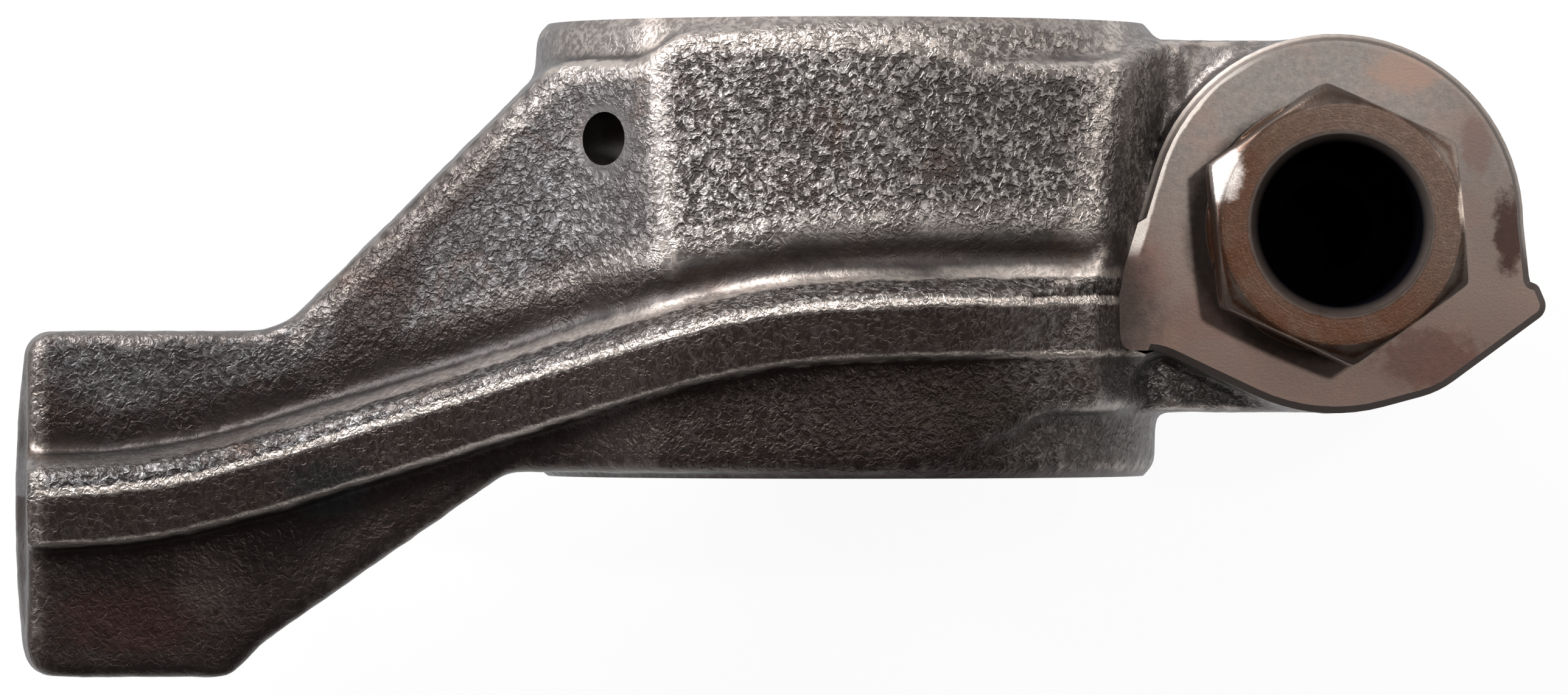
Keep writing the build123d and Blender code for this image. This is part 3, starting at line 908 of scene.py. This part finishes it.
# ------------------------------------------------------------------ node helpers
class Sheet:
    """A node tree being laid out, with short calls to add and join its nodes."""

    def __init__(self, tree):
        self.tree = tree
        self.column = 0

    def add(self, kind, **settings):
        """Adds a node. Settings that are properties are set on the node itself."""
        made = self.tree.nodes.new("ShaderNode" + kind)
        made.location = (self.column * 190, -(self.column % 4) * 210)
        self.column += 1
        for key, value in settings.items():
            setattr(made, key, value)
        return made

    def join(self, source, target):
        """Links an output to an input, or sets the input when the source is plain.

        A colour of three numbers, as in the settings, is given its fourth, which is 1.
        """
        if isinstance(source, bpy.types.NodeSocket):
            self.tree.links.new(source, target)
        else:
            opaque = target.type == "RGBA" and len(source) == 3
            target.default_value = (*source, 1.0) if opaque else source

    def fill(self, node, **inputs):
        """Joins or sets a node's inputs by name, with an underscore for each space."""
        for name, value in inputs.items():
            self.join(value, node.inputs[name.replace("_", " ")])

    def math(self, operation, first, second=0.0, third=0.0, clamp=False):
        """A math node."""
        made = self.add("Math", operation=operation, use_clamp=clamp)
        for value, socket in zip((first, second, third), made.inputs):
            self.join(value, socket)
        return made.outputs[0]

    def times(self, first, second, clamp=False):
        """first * second."""
        return self.math("MULTIPLY", first, second, clamp=clamp)

    def scaled(self, value, factor, offset):
        """value * factor + offset."""
        return self.math("MULTIPLY_ADD", value, factor, offset)

    def plus(self, first, second, clamp=False):
        """first + second."""
        return self.math("ADD", first, second, clamp=clamp)

    def less(self, first, second, clamp=False):
        """first - second."""
        return self.math("SUBTRACT", first, second, clamp=clamp)

    def larger(self, first, second):
        """The larger of two values."""
        return self.math("MAXIMUM", first, second)

    def ramp(self, value, low, high, out_low=0.0, out_high=1.0):
        """Smoothly maps low..high to out_low..out_high."""
        made = self.add("MapRange", interpolation_type="SMOOTHSTEP")
        for source, key in ((value, 0), (low, 1), (high, 2), (out_low, 3), (out_high, 4)):
            self.join(source, made.inputs[key])
        return made.outputs[0]

    def band(self, value, start, rise, fall, end):
        """0 before start, 1 from rise to fall and 0 after end, smooth between."""
        return self.times(self.ramp(value, start, rise), self.ramp(value, end, fall))

    def mix(self, factor, first, second):
        """Mixes two colours."""
        made = self.add("Mix", data_type="RGBA")
        self.join(factor, made.inputs["Factor"])
        colours = [socket for socket in made.inputs if socket.type == "RGBA"]
        for source, socket in zip((first, second), colours):
            self.join(source, socket)
        return [socket for socket in made.outputs if socket.type == "RGBA"][0]

    def noise(self, vector, scale, detail=3.0, roughness=0.55, distortion=0.0):
        """A noise texture's value, about 0 to 1."""
        made = self.add("TexNoise")
        self.fill(made, Vector=vector, Scale=scale, Detail=detail, Roughness=roughness)
        self.fill(made, Distortion=distortion)
        return made.outputs["Fac"]

    def painted(self, name):
        """A value painted on the mesh."""
        return self.add("Attribute", attribute_name=name).outputs["Fac"]

    def vector(self, operation, first, second=None, third=None):
        """A vector math node."""
        made = self.add("VectorMath", operation=operation)
        for value, socket in zip((first, second, third), made.inputs):
            if value is not None:
                self.join(value, socket)
        return made.outputs["Value" if operation == "LENGTH" else "Vector"]

    def split(self, vector):
        """The three parts of a vector."""
        made = self.add("SeparateXYZ")
        self.join(vector, made.inputs[0])
        return made.outputs

    def place(self):
        """Position on the object in millimetres."""
        here = self.add("TexCoord").outputs["Object"]
        scaled = self.add("VectorMath", operation="SCALE")
        self.fill(scaled, Vector=here, Scale=1 / MM)
        return scaled.outputs["Vector"]

    def blend(self, factor, first, second):
        """Mixes two shaders."""
        made = self.add("MixShader")
        for source, socket in zip((factor, first, second), made.inputs):
            self.join(source, socket)
        return made.outputs[0]

    def group(self, tree, **inputs):
        """Places a group and joins its inputs."""
        made = self.tree.nodes.new("ShaderNodeGroup")
        made.node_tree = tree
        made.location = (-500, -260 * self.column)
        self.column += 1
        self.fill(made, **inputs)
        return made.outputs

    def bumped(self, height, distance):
        """A normal tilted by a height, for a bump of the given distance in metres."""
        made = self.add("Bump")
        self.fill(made, Distance=distance, Height=height)
        return made.outputs[0]


def node_group(name, outputs, inputs):
    """An empty shader group of values; an input whose default is None is a vector."""
    tree = bpy.data.node_groups.new(name, "ShaderNodeTree")
    for label, default in inputs.items():
        kind = "NodeSocketVector" if default is None else "NodeSocketFloat"
        socket = tree.interface.new_socket(label, in_out="INPUT", socket_type=kind)
        if default is not None:
            socket.default_value = default
    for label in outputs:
        tree.interface.new_socket(label, in_out="OUTPUT", socket_type="NodeSocketFloat")
    entry = tree.nodes.new("NodeGroupInput")
    leave = tree.nodes.new("NodeGroupOutput")
    entry.location = (-300, 0)
    leave.location = (3600, 0)
    return Sheet(tree), entry.outputs, leave.inputs


def shared_group(name, outputs, **inputs):
    """Makes a function that lays out a group into one that builds it once and hands it out."""

    def wrap(lay_out):
        def shared():
            known = bpy.data.node_groups.get(name)
            if known is None:
                sheet, given, result = node_group(name, outputs, inputs)
                lay_out(sheet, given, result)
                known = sheet.tree
            return known

        return shared

    return wrap


# In the groups and the materials a bare number is a place, width or grain size in
# millimetres, the scale or detail of a noise, or a strength from 0 to 1.
@shared_group("cast grain", ["Height", "Tops"], Place=None, Size=0.36)
def cast_grain_group(sheet, given, result):
    """Grains of a sand casting: a height and a mask of their tops."""
    frequency = sheet.math("DIVIDE", 1.0, given["Size"])
    bend = sheet.add("TexNoise")
    sheet.fill(bend, Vector=given["Place"], Scale=frequency, Detail=2.0)
    bent = sheet.vector("MULTIPLY_ADD", bend.outputs["Color"], (0.5, 0.5, 0.5), given["Place"])
    cells = sheet.add("TexVoronoi", feature="SMOOTH_F1")
    sheet.fill(cells, Vector=bent, Scale=frequency, Smoothness=0.35)
    worms = sheet.noise(bent, sheet.times(frequency, 0.8), 1.5, 0.45, 0.8)
    from_worm = sheet.math("ABSOLUTE", sheet.less(worms, 0.5))
    ridges = sheet.less(1.0, sheet.times(from_worm, 6.0), clamp=True)
    fine = sheet.noise(given["Place"], sheet.times(frequency, 3.1), 2.0, 0.6, 0.3)
    domes = sheet.less(1.0, cells.outputs["Distance"])
    height = sheet.scaled(ridges, 0.55, sheet.times(domes, 0.6))
    height = sheet.scaled(fine, 0.2, height)
    sheet.join(height, result["Height"])
    sheet.join(sheet.ramp(height, 0.58, 1.12), result["Tops"])


@shared_group("oil blotches", ["Mask", "Speckle"], Place=None, Size=6.0, Amount=0.5)
def blotch_group(sheet, given, result):
    """Soft uneven stains at two sizes."""
    frequency = sheet.math("DIVIDE", 1.0, given["Size"])
    wide = sheet.noise(given["Place"], frequency, 4.0, 0.6, 0.6)
    low = sheet.less(0.75, sheet.times(given["Amount"], 0.5))
    high = sheet.plus(low, 0.22)
    sheet.join(sheet.ramp(wide, low, high), result["Mask"])
    small = sheet.noise(given["Place"], sheet.times(frequency, 9.0), 3.0, 0.65)
    sheet.join(small, result["Speckle"])


@shared_group(
    "spine bands",
    ["Line", "WallHighlight", "Rough", "Strip", "Slope", "Behind"],
    Place=None,
    Crest=0.0,
    Spine=1.0,
)
def spine_bands_group(sheet, given, result):
    """Bands that run along the spine, from the distance to its crest line in mm."""
    x, _, _ = sheet.split(given["Place"])
    along = sheet.ramp(x, -40.0, -4.0)
    pad_end = sheet.ramp(x, -42.6, -42.1)
    on_spine = sheet.ramp(given["Spine"], 0.0, 0.3)
    wall_top = sheet.ramp(given["Spine"], 0.0, 0.45)
    started = sheet.times(sheet.times(sheet.ramp(x, 13.9, 13.0), pad_end), on_spine)
    wander = sheet.less(sheet.noise(given["Place"], 0.9, 3.0, 0.6), 0.5)
    crest = sheet.scaled(wander, 0.46, given["Crest"])
    gaps = sheet.ramp(sheet.noise(given["Place"], 1.7, 3.0, 0.7), 0.3, 0.5, 0.3, 1.0)
    rise = sheet.ramp(crest, -0.1, 0.05)
    line = sheet.times(rise, sheet.ramp(crest, 0.5, 0.3))
    line = sheet.times(sheet.times(line, gaps), started)
    back = sheet.band(crest, -2.8, -2.56, -2.45, -2.25)
    back = sheet.times(sheet.times(back, pad_end), on_spine)
    # Painted highlights: the crest line and a line along the foot of the spine's back.
    sheet.join(sheet.scaled(back, 0.55, line), result["Line"])
    past = sheet.less(crest, 1.35)
    reach = sheet.scaled(along, 0.2, 0.45)
    wall = sheet.less(past, reach)
    wall = sheet.times(sheet.ramp(past, -0.05, 0.12), sheet.ramp(wall, 0.15, -0.15))
    share = sheet.scaled(along, 1.15, 0.25)
    share = sheet.times(share, sheet.ramp(past, 0.7, 0.15, 0.4, 1.0))
    share = sheet.times(share, wall_top)
    # Painted highlight on the spine's front wall.
    sheet.join(sheet.times(sheet.times(wall, share), started), result["WallHighlight"])
    strip = sheet.times(sheet.times(rise, sheet.ramp(past, 0.1, -0.05)), on_spine)
    slope = sheet.times(sheet.band(crest, -2.7, -2.45, -0.15, 0.0), on_spine)
    sheet.join(slope, result["Slope"])
    sheet.join(sheet.scaled(slope, 0.55, strip), result["Rough"])
    sheet.join(sheet.times(strip, sheet.ramp(crest, 0.3, 0.5)), result["Strip"])
    # The skin behind the crest, which takes painted shade.
    sheet.join(sheet.ramp(crest, 0.02, -0.14), result["Behind"])


@shared_group("stained spot", ["Mask"], Place=None, Centre=None, Reach=None, Ragged=1.5, Soft=0.3)
def spot_group(sheet, given, result):
    """One stained spot with a ragged border, wherever it is put."""
    away = sheet.vector("SUBTRACT", given["Place"], given["Centre"])
    length = sheet.vector("LENGTH", sheet.vector("DIVIDE", away, given["Reach"]))
    ragged = sheet.less(sheet.noise(given["Place"], 1.5, 4.0, 0.65), 0.5)
    edge = sheet.scaled(ragged, given["Ragged"], length)
    outer = sheet.plus(0.9, given["Soft"])
    inner = sheet.less(0.9, given["Soft"])
    sheet.join(sheet.ramp(edge, outer, inner), result["Mask"])


@shared_group("boss border", ["Mask"], Place=None)
def boss_border_group(sheet, given, result):
    """The painted highlight just inside the boss's outline, along its front and its valve side."""
    x, y, _ = sheet.split(given["Place"])
    across = sheet.less(x, BOSS_X)
    along = sheet.less(y, BOSS_Y)
    square = sheet.scaled(across, across, sheet.times(along, along))
    wander = sheet.less(sheet.noise(given["Place"], 0.5, 3.0, 0.6), 0.5)
    radius = sheet.scaled(wander, 0.3, sheet.math("SQRT", square))
    arc = sheet.times(sheet.ramp(radius, 9.2, 9.32), sheet.ramp(y, 3.9, 4.3))
    lean = sheet.times(sheet.less(y, 0.155), -0.293)
    depth = sheet.scaled(sheet.less(x, 14.1), 0.956, lean)
    depth = sheet.scaled(wander, 0.3, depth)
    low = sheet.band(y, -0.6, 0.4, 4.0, 4.4)
    run = sheet.times(sheet.ramp(depth, 0.62, 0.46), low)
    side = sheet.ramp(x, 22.0, 17.0, 0.05, 1.0)
    sheet.join(sheet.times(sheet.plus(arc, run, clamp=True), side), result["Mask"])


@shared_group("worn edges", ["Worn", "Hollow"], Place=None, Edge=0.0, Reach=0.5)
def worn_edge_group(sheet, given, result):
    """Polished convex edges, and hollows darkened with grime and painted shade, broken up by noise.
    """
    broken = sheet.noise(given["Place"], 1.6, 3.0, 0.6)
    lifted = sheet.scaled(sheet.less(broken, 0.5), 0.7, given["Edge"])
    low = sheet.less(0.55, sheet.times(given["Reach"], 0.4))
    sheet.join(sheet.ramp(lifted, low, sheet.plus(low, 0.45)), result["Worn"])
    sheet.join(sheet.ramp(given["Edge"], -0.15, -0.75), result["Hollow"])


def new_material(name):
    """A material with only a Principled shader and its output."""
    material = bpy.data.materials.new(name)
    material.use_nodes = True
    tree = material.node_tree
    tree.nodes.clear()
    sheet = Sheet(tree)
    shader = sheet.add("BsdfPrincipled")
    sheet.fill(sheet.add("OutputMaterial"), Surface=shader.outputs[0])
    return material, sheet, shader


def spotted(sheet, place, base, spots, **border):
    """A colour with stained spots on it, each a centre, a reach, a colour and a strength."""
    for centre, reach, tint, share in spots:
        spot = sheet.group(spot_group(), Place=place, Centre=centre, Reach=reach, **border)
        base = sheet.mix(sheet.times(spot["Mask"], share), base, tint)
    return base


def cast_skin_material(settings):
    """Oiled cast iron: bright grain tops with painted sheen, hollows darkened by grime and painted
    shade, rubbed edges, painted highlights on the ridges and the spine, and painted shade behind
    the crest.
    """
    material, sheet, shader = new_material("oiled cast iron")
    place = sheet.place()
    oil, edge, rubbed, crest, spine, fade, shine = [
        sheet.painted(name) for name in ("oil", "edge", "worn", "crest", "spine", "fade", "shine")
    ]
    bands = sheet.group(spine_bands_group(), Place=place, Crest=crest, Spine=spine)
    rough = sheet.larger(sheet.painted("grain"), bands["Rough"])
    # Painted shade on the back of the spine, behind its crest.
    back_shade = sheet.times(bands["Behind"], fade)
    grain = sheet.group(cast_grain_group(), Place=place, Size=settings.grain_size / MM)
    blotch = sheet.group(blotch_group(), Place=place, Size=5.0, Amount=0.45)
    wear = sheet.group(worn_edge_group(), Place=place, Edge=edge, Reach=0.55)
    strength = sheet.scaled(rough, 0.9, 0.1)
    tops = sheet.times(grain["Tops"], sheet.scaled(rough, 0.95, 0.05))
    even = sheet.times(sheet.less(1.0, rough), 0.2)
    haze = sheet.times(blotch["Speckle"], 0.16)
    # Painted sheen brightens the grain's tops.
    tops = sheet.times(tops, sheet.scaled(shine, 0.85, 0.43))
    clean = sheet.plus(sheet.plus(tops, even), haze)
    clean = sheet.times(clean, sheet.scaled(oil, -0.78, 1.0))
    clean = sheet.times(clean, sheet.scaled(bands["Strip"], -0.2, 1.0))
    x, _, _ = sheet.split(place)
    cool = sheet.ramp(x, -8.0, -18.0)
    iron = sheet.mix(cool, settings.iron_colour, settings.cool_colour)
    base = sheet.mix(clean, settings.oiled_colour, iron)
    stain = sheet.times(blotch["Mask"], 0.5)
    stained = sheet.mix(stain, base, settings.stain_colour)
    # Grime and painted shade in the hollows.
    hollow_shade_and_grime = sheet.times(wear["Hollow"], sheet.times(fade, 0.7))
    hollow = sheet.mix(hollow_shade_and_grime, stained, HOLLOW_SHADE_AND_GRIME)
    # Painted shade behind the crest, browner on the spine's back slope.
    back_shade_share = sheet.times(back_shade, sheet.scaled(bands["Rough"], -0.3, 0.88))
    burnt = sheet.mix(bands["Slope"], settings.back_shade_and_oil_colour, BACK_SLOPE_SHADE)
    dark = sheet.mix(back_shade_share, hollow, burnt)
    # Oil, and painted shade in the valley and on the steep sides, pool darkest.
    pooled_oil_and_shade = sheet.times(sheet.ramp(oil, 0.55, 1.0), 0.45)
    dark = sheet.mix(pooled_oil_and_shade, dark, settings.back_shade_and_oil_colour)
    dark = spotted(sheet, place, dark, CAST_STAINS)
    away = sheet.less(1.0, sheet.times(bands["Rough"], 0.8))
    lit = sheet.times(sheet.scaled(back_shade, -0.47, 0.55), away)
    lit = sheet.times(lit, sheet.scaled(oil, -0.6, 1.0))
    lit = sheet.times(lit, sheet.ramp(x, -31.0, -25.0, 0.3, 1.0))
    worn = sheet.times(wear["Worn"], lit)
    ragged = sheet.ramp(grain["Height"], 0.45, 1.0, 0.35, 1.0)
    # Painted highlights on the ridges, the fold, the bead and the crest's ends.
    worn = sheet.larger(worn, sheet.times(rubbed, ragged))
    # Painted highlights on the spine's front wall and along its crest lines.
    wall_highlight = sheet.times(bands["WallHighlight"], sheet.scaled(ragged, 0.34, 0.26))
    worn = sheet.larger(worn, wall_highlight)
    worn = sheet.larger(worn, bands["Line"])
    # Rubbed edges and painted highlights take the rubbed colour.
    final = sheet.mix(worn, dark, settings.rubbed_and_highlight_colour)
    gloss = sheet.scaled(blotch["Speckle"], 0.25, 0.3)
    small = sheet.noise(place, 6.0, 3.0, 0.65)
    bumps = sheet.scaled(small, 0.1, sheet.times(grain["Height"], strength))
    sheet.fill(
        shader,
        Base_Color=final,
        Metallic=0.75,
        Roughness=sheet.scaled(worn, -0.06, gloss),
        Specular_IOR_Level=0.4,
        Normal=sheet.bumped(bumps, settings.grain_depth),
    )
    return material


def milled_face_material(settings):
    """Milled iron: fine mottle and a brown stain that deepens towards the back, painted shade
    towards the back and the pushrod end, painted shadows of the head and the spine, and a painted
    highlight along the boss's outline.
    """
    material, sheet, shader = new_material("milled iron")
    place = sheet.place()
    blotch = sheet.group(blotch_group(), Place=place, Size=3.2, Amount=0.55)
    inside = sheet.painted("inside")
    x, y, z = sheet.split(place)
    fade = sheet.ramp(y, 8.5, -8.5)
    amount = sheet.scaled(fade, 0.5, sheet.times(blotch["Mask"], 0.28))
    fine = sheet.noise(place, 2.6, 6.0, 0.75)
    clean = sheet.mix(sheet.ramp(fine, 0.3, 0.75), MILLED_SHADE, settings.milled_colour)
    stained = sheet.mix(amount, clean, MILLED_STAIN)
    on_face = sheet.times(sheet.ramp(z, 9.5, 9.8), sheet.ramp(x, 13.25, 13.3))
    # Painted shade: the boss face darkens towards the back and towards the pushrod end.
    below = sheet.times(sheet.ramp(y, 3.0, -7.0), 0.55)
    aside = sheet.times(sheet.ramp(x, 27.5, 33.0), 0.3)
    falloff_shade = sheet.times(sheet.larger(below, aside), on_face)
    stained = sheet.mix(falloff_shade, stained, MILLED_FALLOFF_SHADE)
    stained = spotted(sheet, place, stained, BOSS_STAINS)
    # Painted shadow of the screw's head on the boss face.
    stained = spotted(sheet, place, stained, HEAD_SHADOW_ON_BOSS, Ragged=0.12, Soft=0.07)
    # Painted shadow where the spine's crest meets the boss face.
    stained = spotted(sheet, place, stained, SPINE_SHADOW_ON_BOSS, Ragged=0.7, Soft=0.5)
    # Painted highlight along the boss's outline, at its front and its valve side.
    border = sheet.group(boss_border_group(), Place=place)
    rubbed = sheet.times(sheet.times(border["Mask"], on_face), 0.85)
    stained = sheet.mix(rubbed, stained, MILLED_HIGHLIGHT)
    # The bore is painted dark with oil and the oil hole with painted shade.
    sheet.fill(
        shader,
        Base_Color=sheet.mix(sheet.times(inside, 0.55, clamp=True), stained, HOLE_OIL_AND_SHADE),
        Metallic=0.8,
        Roughness=sheet.scaled(fine, 0.22, 0.34),
        Specular_IOR_Level=0.4,
        Normal=sheet.bumped(sheet.noise(place, 7.0, 4.0, 0.7), 0.01 * MM),
    )
    return material


def rim_highlight_material(settings):
    """The boss's broken edge: painted bright as a highlight at the front and the valve side, dark
    behind.
    """
    material, sheet, shader = new_material("highlit rim")
    place = sheet.place()
    blotch = sheet.group(blotch_group(), Place=place, Size=2.2, Amount=0.4)
    x, y, z = sheet.split(place)
    front = sheet.ramp(y, -1.2, 0.8)
    valve_side = sheet.ramp(x, 26.0, 17.5, 0.42, 1.0)
    valve_side = sheet.times(valve_side, sheet.ramp(z, 9.88, 9.74, 0.25, 1.0))
    uneven = sheet.scaled(blotch["Speckle"], 0.7, 0.45)
    # Painted highlight on the rim at the front and the valve side.
    bright = sheet.times(sheet.times(front, valve_side), uneven, clamp=True)
    sheet.fill(
        shader,
        Base_Color=sheet.mix(bright, RIM_DARK, settings.rubbed_and_highlight_colour),
        Metallic=0.3,
        Roughness=sheet.scaled(blotch["Mask"], 0.15, 0.32),
    )
    return material


def screw_steel_material(settings):
    """Turned steel with a bronze stain, lathe rings on the face, rubbed edges, two corners painted
    bright as highlights, and the socket painted near black as shade.
    """
    material, sheet, shader = new_material("stained screw steel")
    place = sheet.place()
    edge = sheet.painted("edge")
    blotch = sheet.group(blotch_group(), Place=place, Size=3.4, Amount=0.75)
    wear = sheet.group(worn_edge_group(), Place=place, Edge=edge, Reach=0.8)
    off_axis = sheet.vector("SUBTRACT", place, (SCREW_X, SCREW_Y, 0.0))
    radius = sheet.vector("LENGTH", sheet.vector("MULTIPLY", off_axis, (1.0, 1.0, 0.0)))
    ring_at = sheet.add("CombineXYZ")
    sheet.fill(ring_at, X=radius)
    rings = sheet.noise(ring_at.outputs[0], 9.0, 3.0, 0.6)
    x, y, _ = sheet.split(off_axis)
    side = sheet.less(sheet.times(x, -0.9), y)
    grey_side = sheet.ramp(sheet.times(side, -1.0), -3.5, 5.0)
    amount = sheet.scaled(grey_side, -0.62, 1.0)
    amount = sheet.times(amount, sheet.scaled(blotch["Mask"], 0.3, 0.7))
    base = sheet.mix(sheet.ramp(rings, 0.25, 0.75), STEEL_SHADE, settings.steel_colour)
    stained = sheet.mix(sheet.times(amount, 0.92), base, settings.bronze_stain)
    worn = sheet.mix(sheet.times(wear["Worn"], 0.14), stained, STEEL_RUBBED)
    # Painted highlights on two corners of the head, and a dark stain.
    worn = spotted(sheet, place, worn, HEAD_HIGHLIGHTS_AND_STAIN, Ragged=0.9)
    # The socket is painted near black as shade.
    socket_shade = sheet.painted("socket_shade")
    gloss = sheet.scaled(blotch["Speckle"], 0.22, 0.28)
    height = sheet.plus(rings, sheet.noise(place, 8.0, 3.0, 0.6))
    sheet.fill(
        shader,
        Base_Color=sheet.mix(socket_shade, worn, SOCKET_SHADE_COLOUR),
        Metallic=sheet.scaled(socket_shade, -0.85, 0.85),
        Roughness=sheet.scaled(socket_shade, 0.4, gloss),
        Specular_IOR_Level=sheet.scaled(socket_shade, -0.39, 0.4),
        Normal=sheet.bumped(height, 0.012 * MM),
    )
    return material


# ------------------------------------------------------------------ stage
def lighter_for_camera(sheet, shaded, share):
    """Mixes plain white in where the camera or a reflection sees the surface directly."""
    path = sheet.add("LightPath")
    seen = sheet.larger(path.outputs["Is Camera Ray"], path.outputs["Is Glossy Ray"])
    seen = sheet.larger(seen, path.outputs["Is Transmission Ray"])
    white = sheet.add("Emission")
    sheet.fill(white, Color=WHITE, Strength=1.0)
    return sheet.blend(sheet.times(seen, share), shaded, white.outputs[0])


def floor_material(settings):
    """Pale paper that stays white to the camera and keeps a faint shadow."""
    material, sheet, shader = new_material("pale paper")
    place = sheet.place()
    speck = sheet.noise(place, 0.02, 3.0, 0.5)
    tint = sheet.mix(sheet.times(speck, 0.04), settings.floor_colour, PAPER_SPECK)
    sheet.fill(shader, Base_Color=tint, Roughness=0.9)
    output = [n for n in sheet.tree.nodes if n.type == "OUTPUT_MATERIAL"][0]
    sheet.fill(output, Surface=lighter_for_camera(sheet, shader.outputs[0], 0.94))
    return material


def studio_world(strength):
    """A soft tent: bright low down at the front and the ends, dimmer overhead and behind."""
    world = bpy.data.worlds.new("soft tent")
    bpy.context.scene.world = world
    world.use_nodes = True
    tree = world.node_tree
    tree.nodes.clear()
    sheet = Sheet(tree)
    x, y, z = sheet.split(sheet.add("TexCoord").outputs["Generated"])
    low = sheet.ramp(z, 0.97, 0.62, 0.12, 0.8)
    front = sheet.ramp(y, -0.5, 0.3, 0.16, 1.0)
    end = sheet.ramp(x, 0.5, -0.6, 0.55, 1.0)
    level = sheet.times(sheet.times(sheet.times(low, front), end), strength)
    light = sheet.add("Background")
    sheet.fill(light, Color=TENT_LIGHT, Strength=level)
    white = sheet.add("Background")
    sheet.fill(white, Color=WHITE)
    seen = sheet.add("LightPath").outputs["Is Camera Ray"]
    mixed = sheet.blend(seen, light.outputs[0], white.outputs[0])
    sheet.fill(sheet.add("OutputWorld"), Surface=mixed)


def soft_lamp(name, place, size, power, tint):
    """A square soft lamp, in millimetres and watts, turned to the arm."""
    light = bpy.data.lights.new(name, "AREA")
    light.shape = "SQUARE"
    light.size = size * MM
    light.energy = power
    light.color = tint
    lamp = placed(name, light)
    lamp.location = Vector(place) * MM
    lamp.rotation_euler = (-lamp.location).to_track_quat("-Z", "Y").to_euler()


def build_floor(settings):
    """A wide floor just under the arm's lowest point."""
    grid = bmesh.new()
    bmesh.ops.create_grid(grid, x_segments=8, y_segments=8, size=FLOOR_HALF)
    floor = placed("studio_floor", finished(grid, "studio_floor"))
    floor.location.z = CAD_BOX[0][2] - FLOOR_GAP
    floor.data.materials.append(floor_material(settings))


def build_camera(settings):
    """A long lens above the arm, looking down along the screw."""
    data = bpy.data.cameras.new("view camera")
    data.sensor_width = SENSOR
    data.lens = LENS
    data.clip_start = VIEW_NEAR
    data.clip_end = VIEW_FAR
    camera = placed("view camera", data)
    tilt = settings.camera_tilt
    back = Vector((-math.sin(tilt), 0.0, math.cos(tilt)))
    camera.location = Vector(CAMERA_AIM) * MM + back * settings.camera_distance
    camera.rotation_euler = (0.0, -tilt, 0.0)
    bpy.context.scene.camera = camera


# ------------------------------------------------------------------ operators
class ROCKER_OT_dress_casting(bpy.types.Operator):
    """Give the cast arm its skin, its worn edges and its machined faces"""

    bl_idname = "rocker.dress_casting"
    bl_label = "Dress the casting"

    def execute(self, context):
        settings = context.scene.rocker_casting_look
        for piece in casting_piece(settings):
            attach(piece, "arm")
            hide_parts("rocker_casting")
        return {"FINISHED"}


class ROCKER_OT_dress_screw(bpy.types.Operator):
    """Turn the adjusting screw with its hexagon, thread and ball"""

    bl_idname = "rocker.dress_screw"
    bl_label = "Dress the adjusting screw"

    def execute(self, context):
        screw = screw_piece(context.scene.rocker_screw_look)
        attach(screw, "screw")
        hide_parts("adjusting_screw")
        return {"FINISHED"}


class ROCKER_OT_build_stage(bpy.types.Operator):
    """Lay the pale floor and set the soft lamps and the camera"""

    bl_idname = "rocker.build_stage"
    bl_label = "Build the stage"

    def execute(self, context):
        settings = context.scene.rocker_stage_look
        context.scene.view_settings.view_transform = "Standard"
        build_floor(settings)
        build_camera(settings)
        studio_world(settings.lamp_power)
        for name, place, size, power, tint in LAMPS:
            soft_lamp(name, place, size, power * settings.lamp_power, tint)
        return {"FINISHED"}


class ROCKER_PT_looks(bpy.types.Panel):
    """Lists the steps that dress the rocker arm"""

    bl_idname = "ROCKER_PT_looks"
    bl_label = "Rocker arm"
    bl_space_type = "VIEW_3D"
    bl_region_type = "UI"
    bl_category = "Rocker arm"

    def draw(self, context):
        layout = self.layout
        scene = context.scene
        steps = (
            ("rocker.dress_casting", scene.rocker_casting_look),
            ("rocker.dress_screw", scene.rocker_screw_look),
            ("rocker.build_stage", scene.rocker_stage_look),
        )
        for idname, settings in steps:
            box = layout.box()
            for key in settings.__annotations__:
                box.prop(settings, key)
            box.operator(idname)


CLASSES = (
    RockerCastingSettings,
    RockerScrewSettings,
    RockerStageSettings,
    ROCKER_OT_dress_casting,
    ROCKER_OT_dress_screw,
    ROCKER_OT_build_stage,
    ROCKER_PT_looks,
)


def register():
    """Registers the classes and hangs the settings on the scene."""
    for item in CLASSES:
        bpy.utils.register_class(item)
    bpy.types.Scene.rocker_casting_look = bpy.props.PointerProperty(type=RockerCastingSettings)
    bpy.types.Scene.rocker_screw_look = bpy.props.PointerProperty(type=RockerScrewSettings)
    bpy.types.Scene.rocker_stage_look = bpy.props.PointerProperty(type=RockerStageSettings)


def unregister():
    """Takes the settings and the classes away again."""
    del bpy.types.Scene.rocker_stage_look
    del bpy.types.Scene.rocker_screw_look
    del bpy.types.Scene.rocker_casting_look
    for item in reversed(CLASSES):
        bpy.utils.unregister_class(item)


def main():
    """Builds every piece and the stage."""
    register()
    bpy.ops.rocker.dress_casting()
    bpy.ops.rocker.dress_screw()
    bpy.ops.rocker.build_stage()


if __name__ == "__main__":
    main()
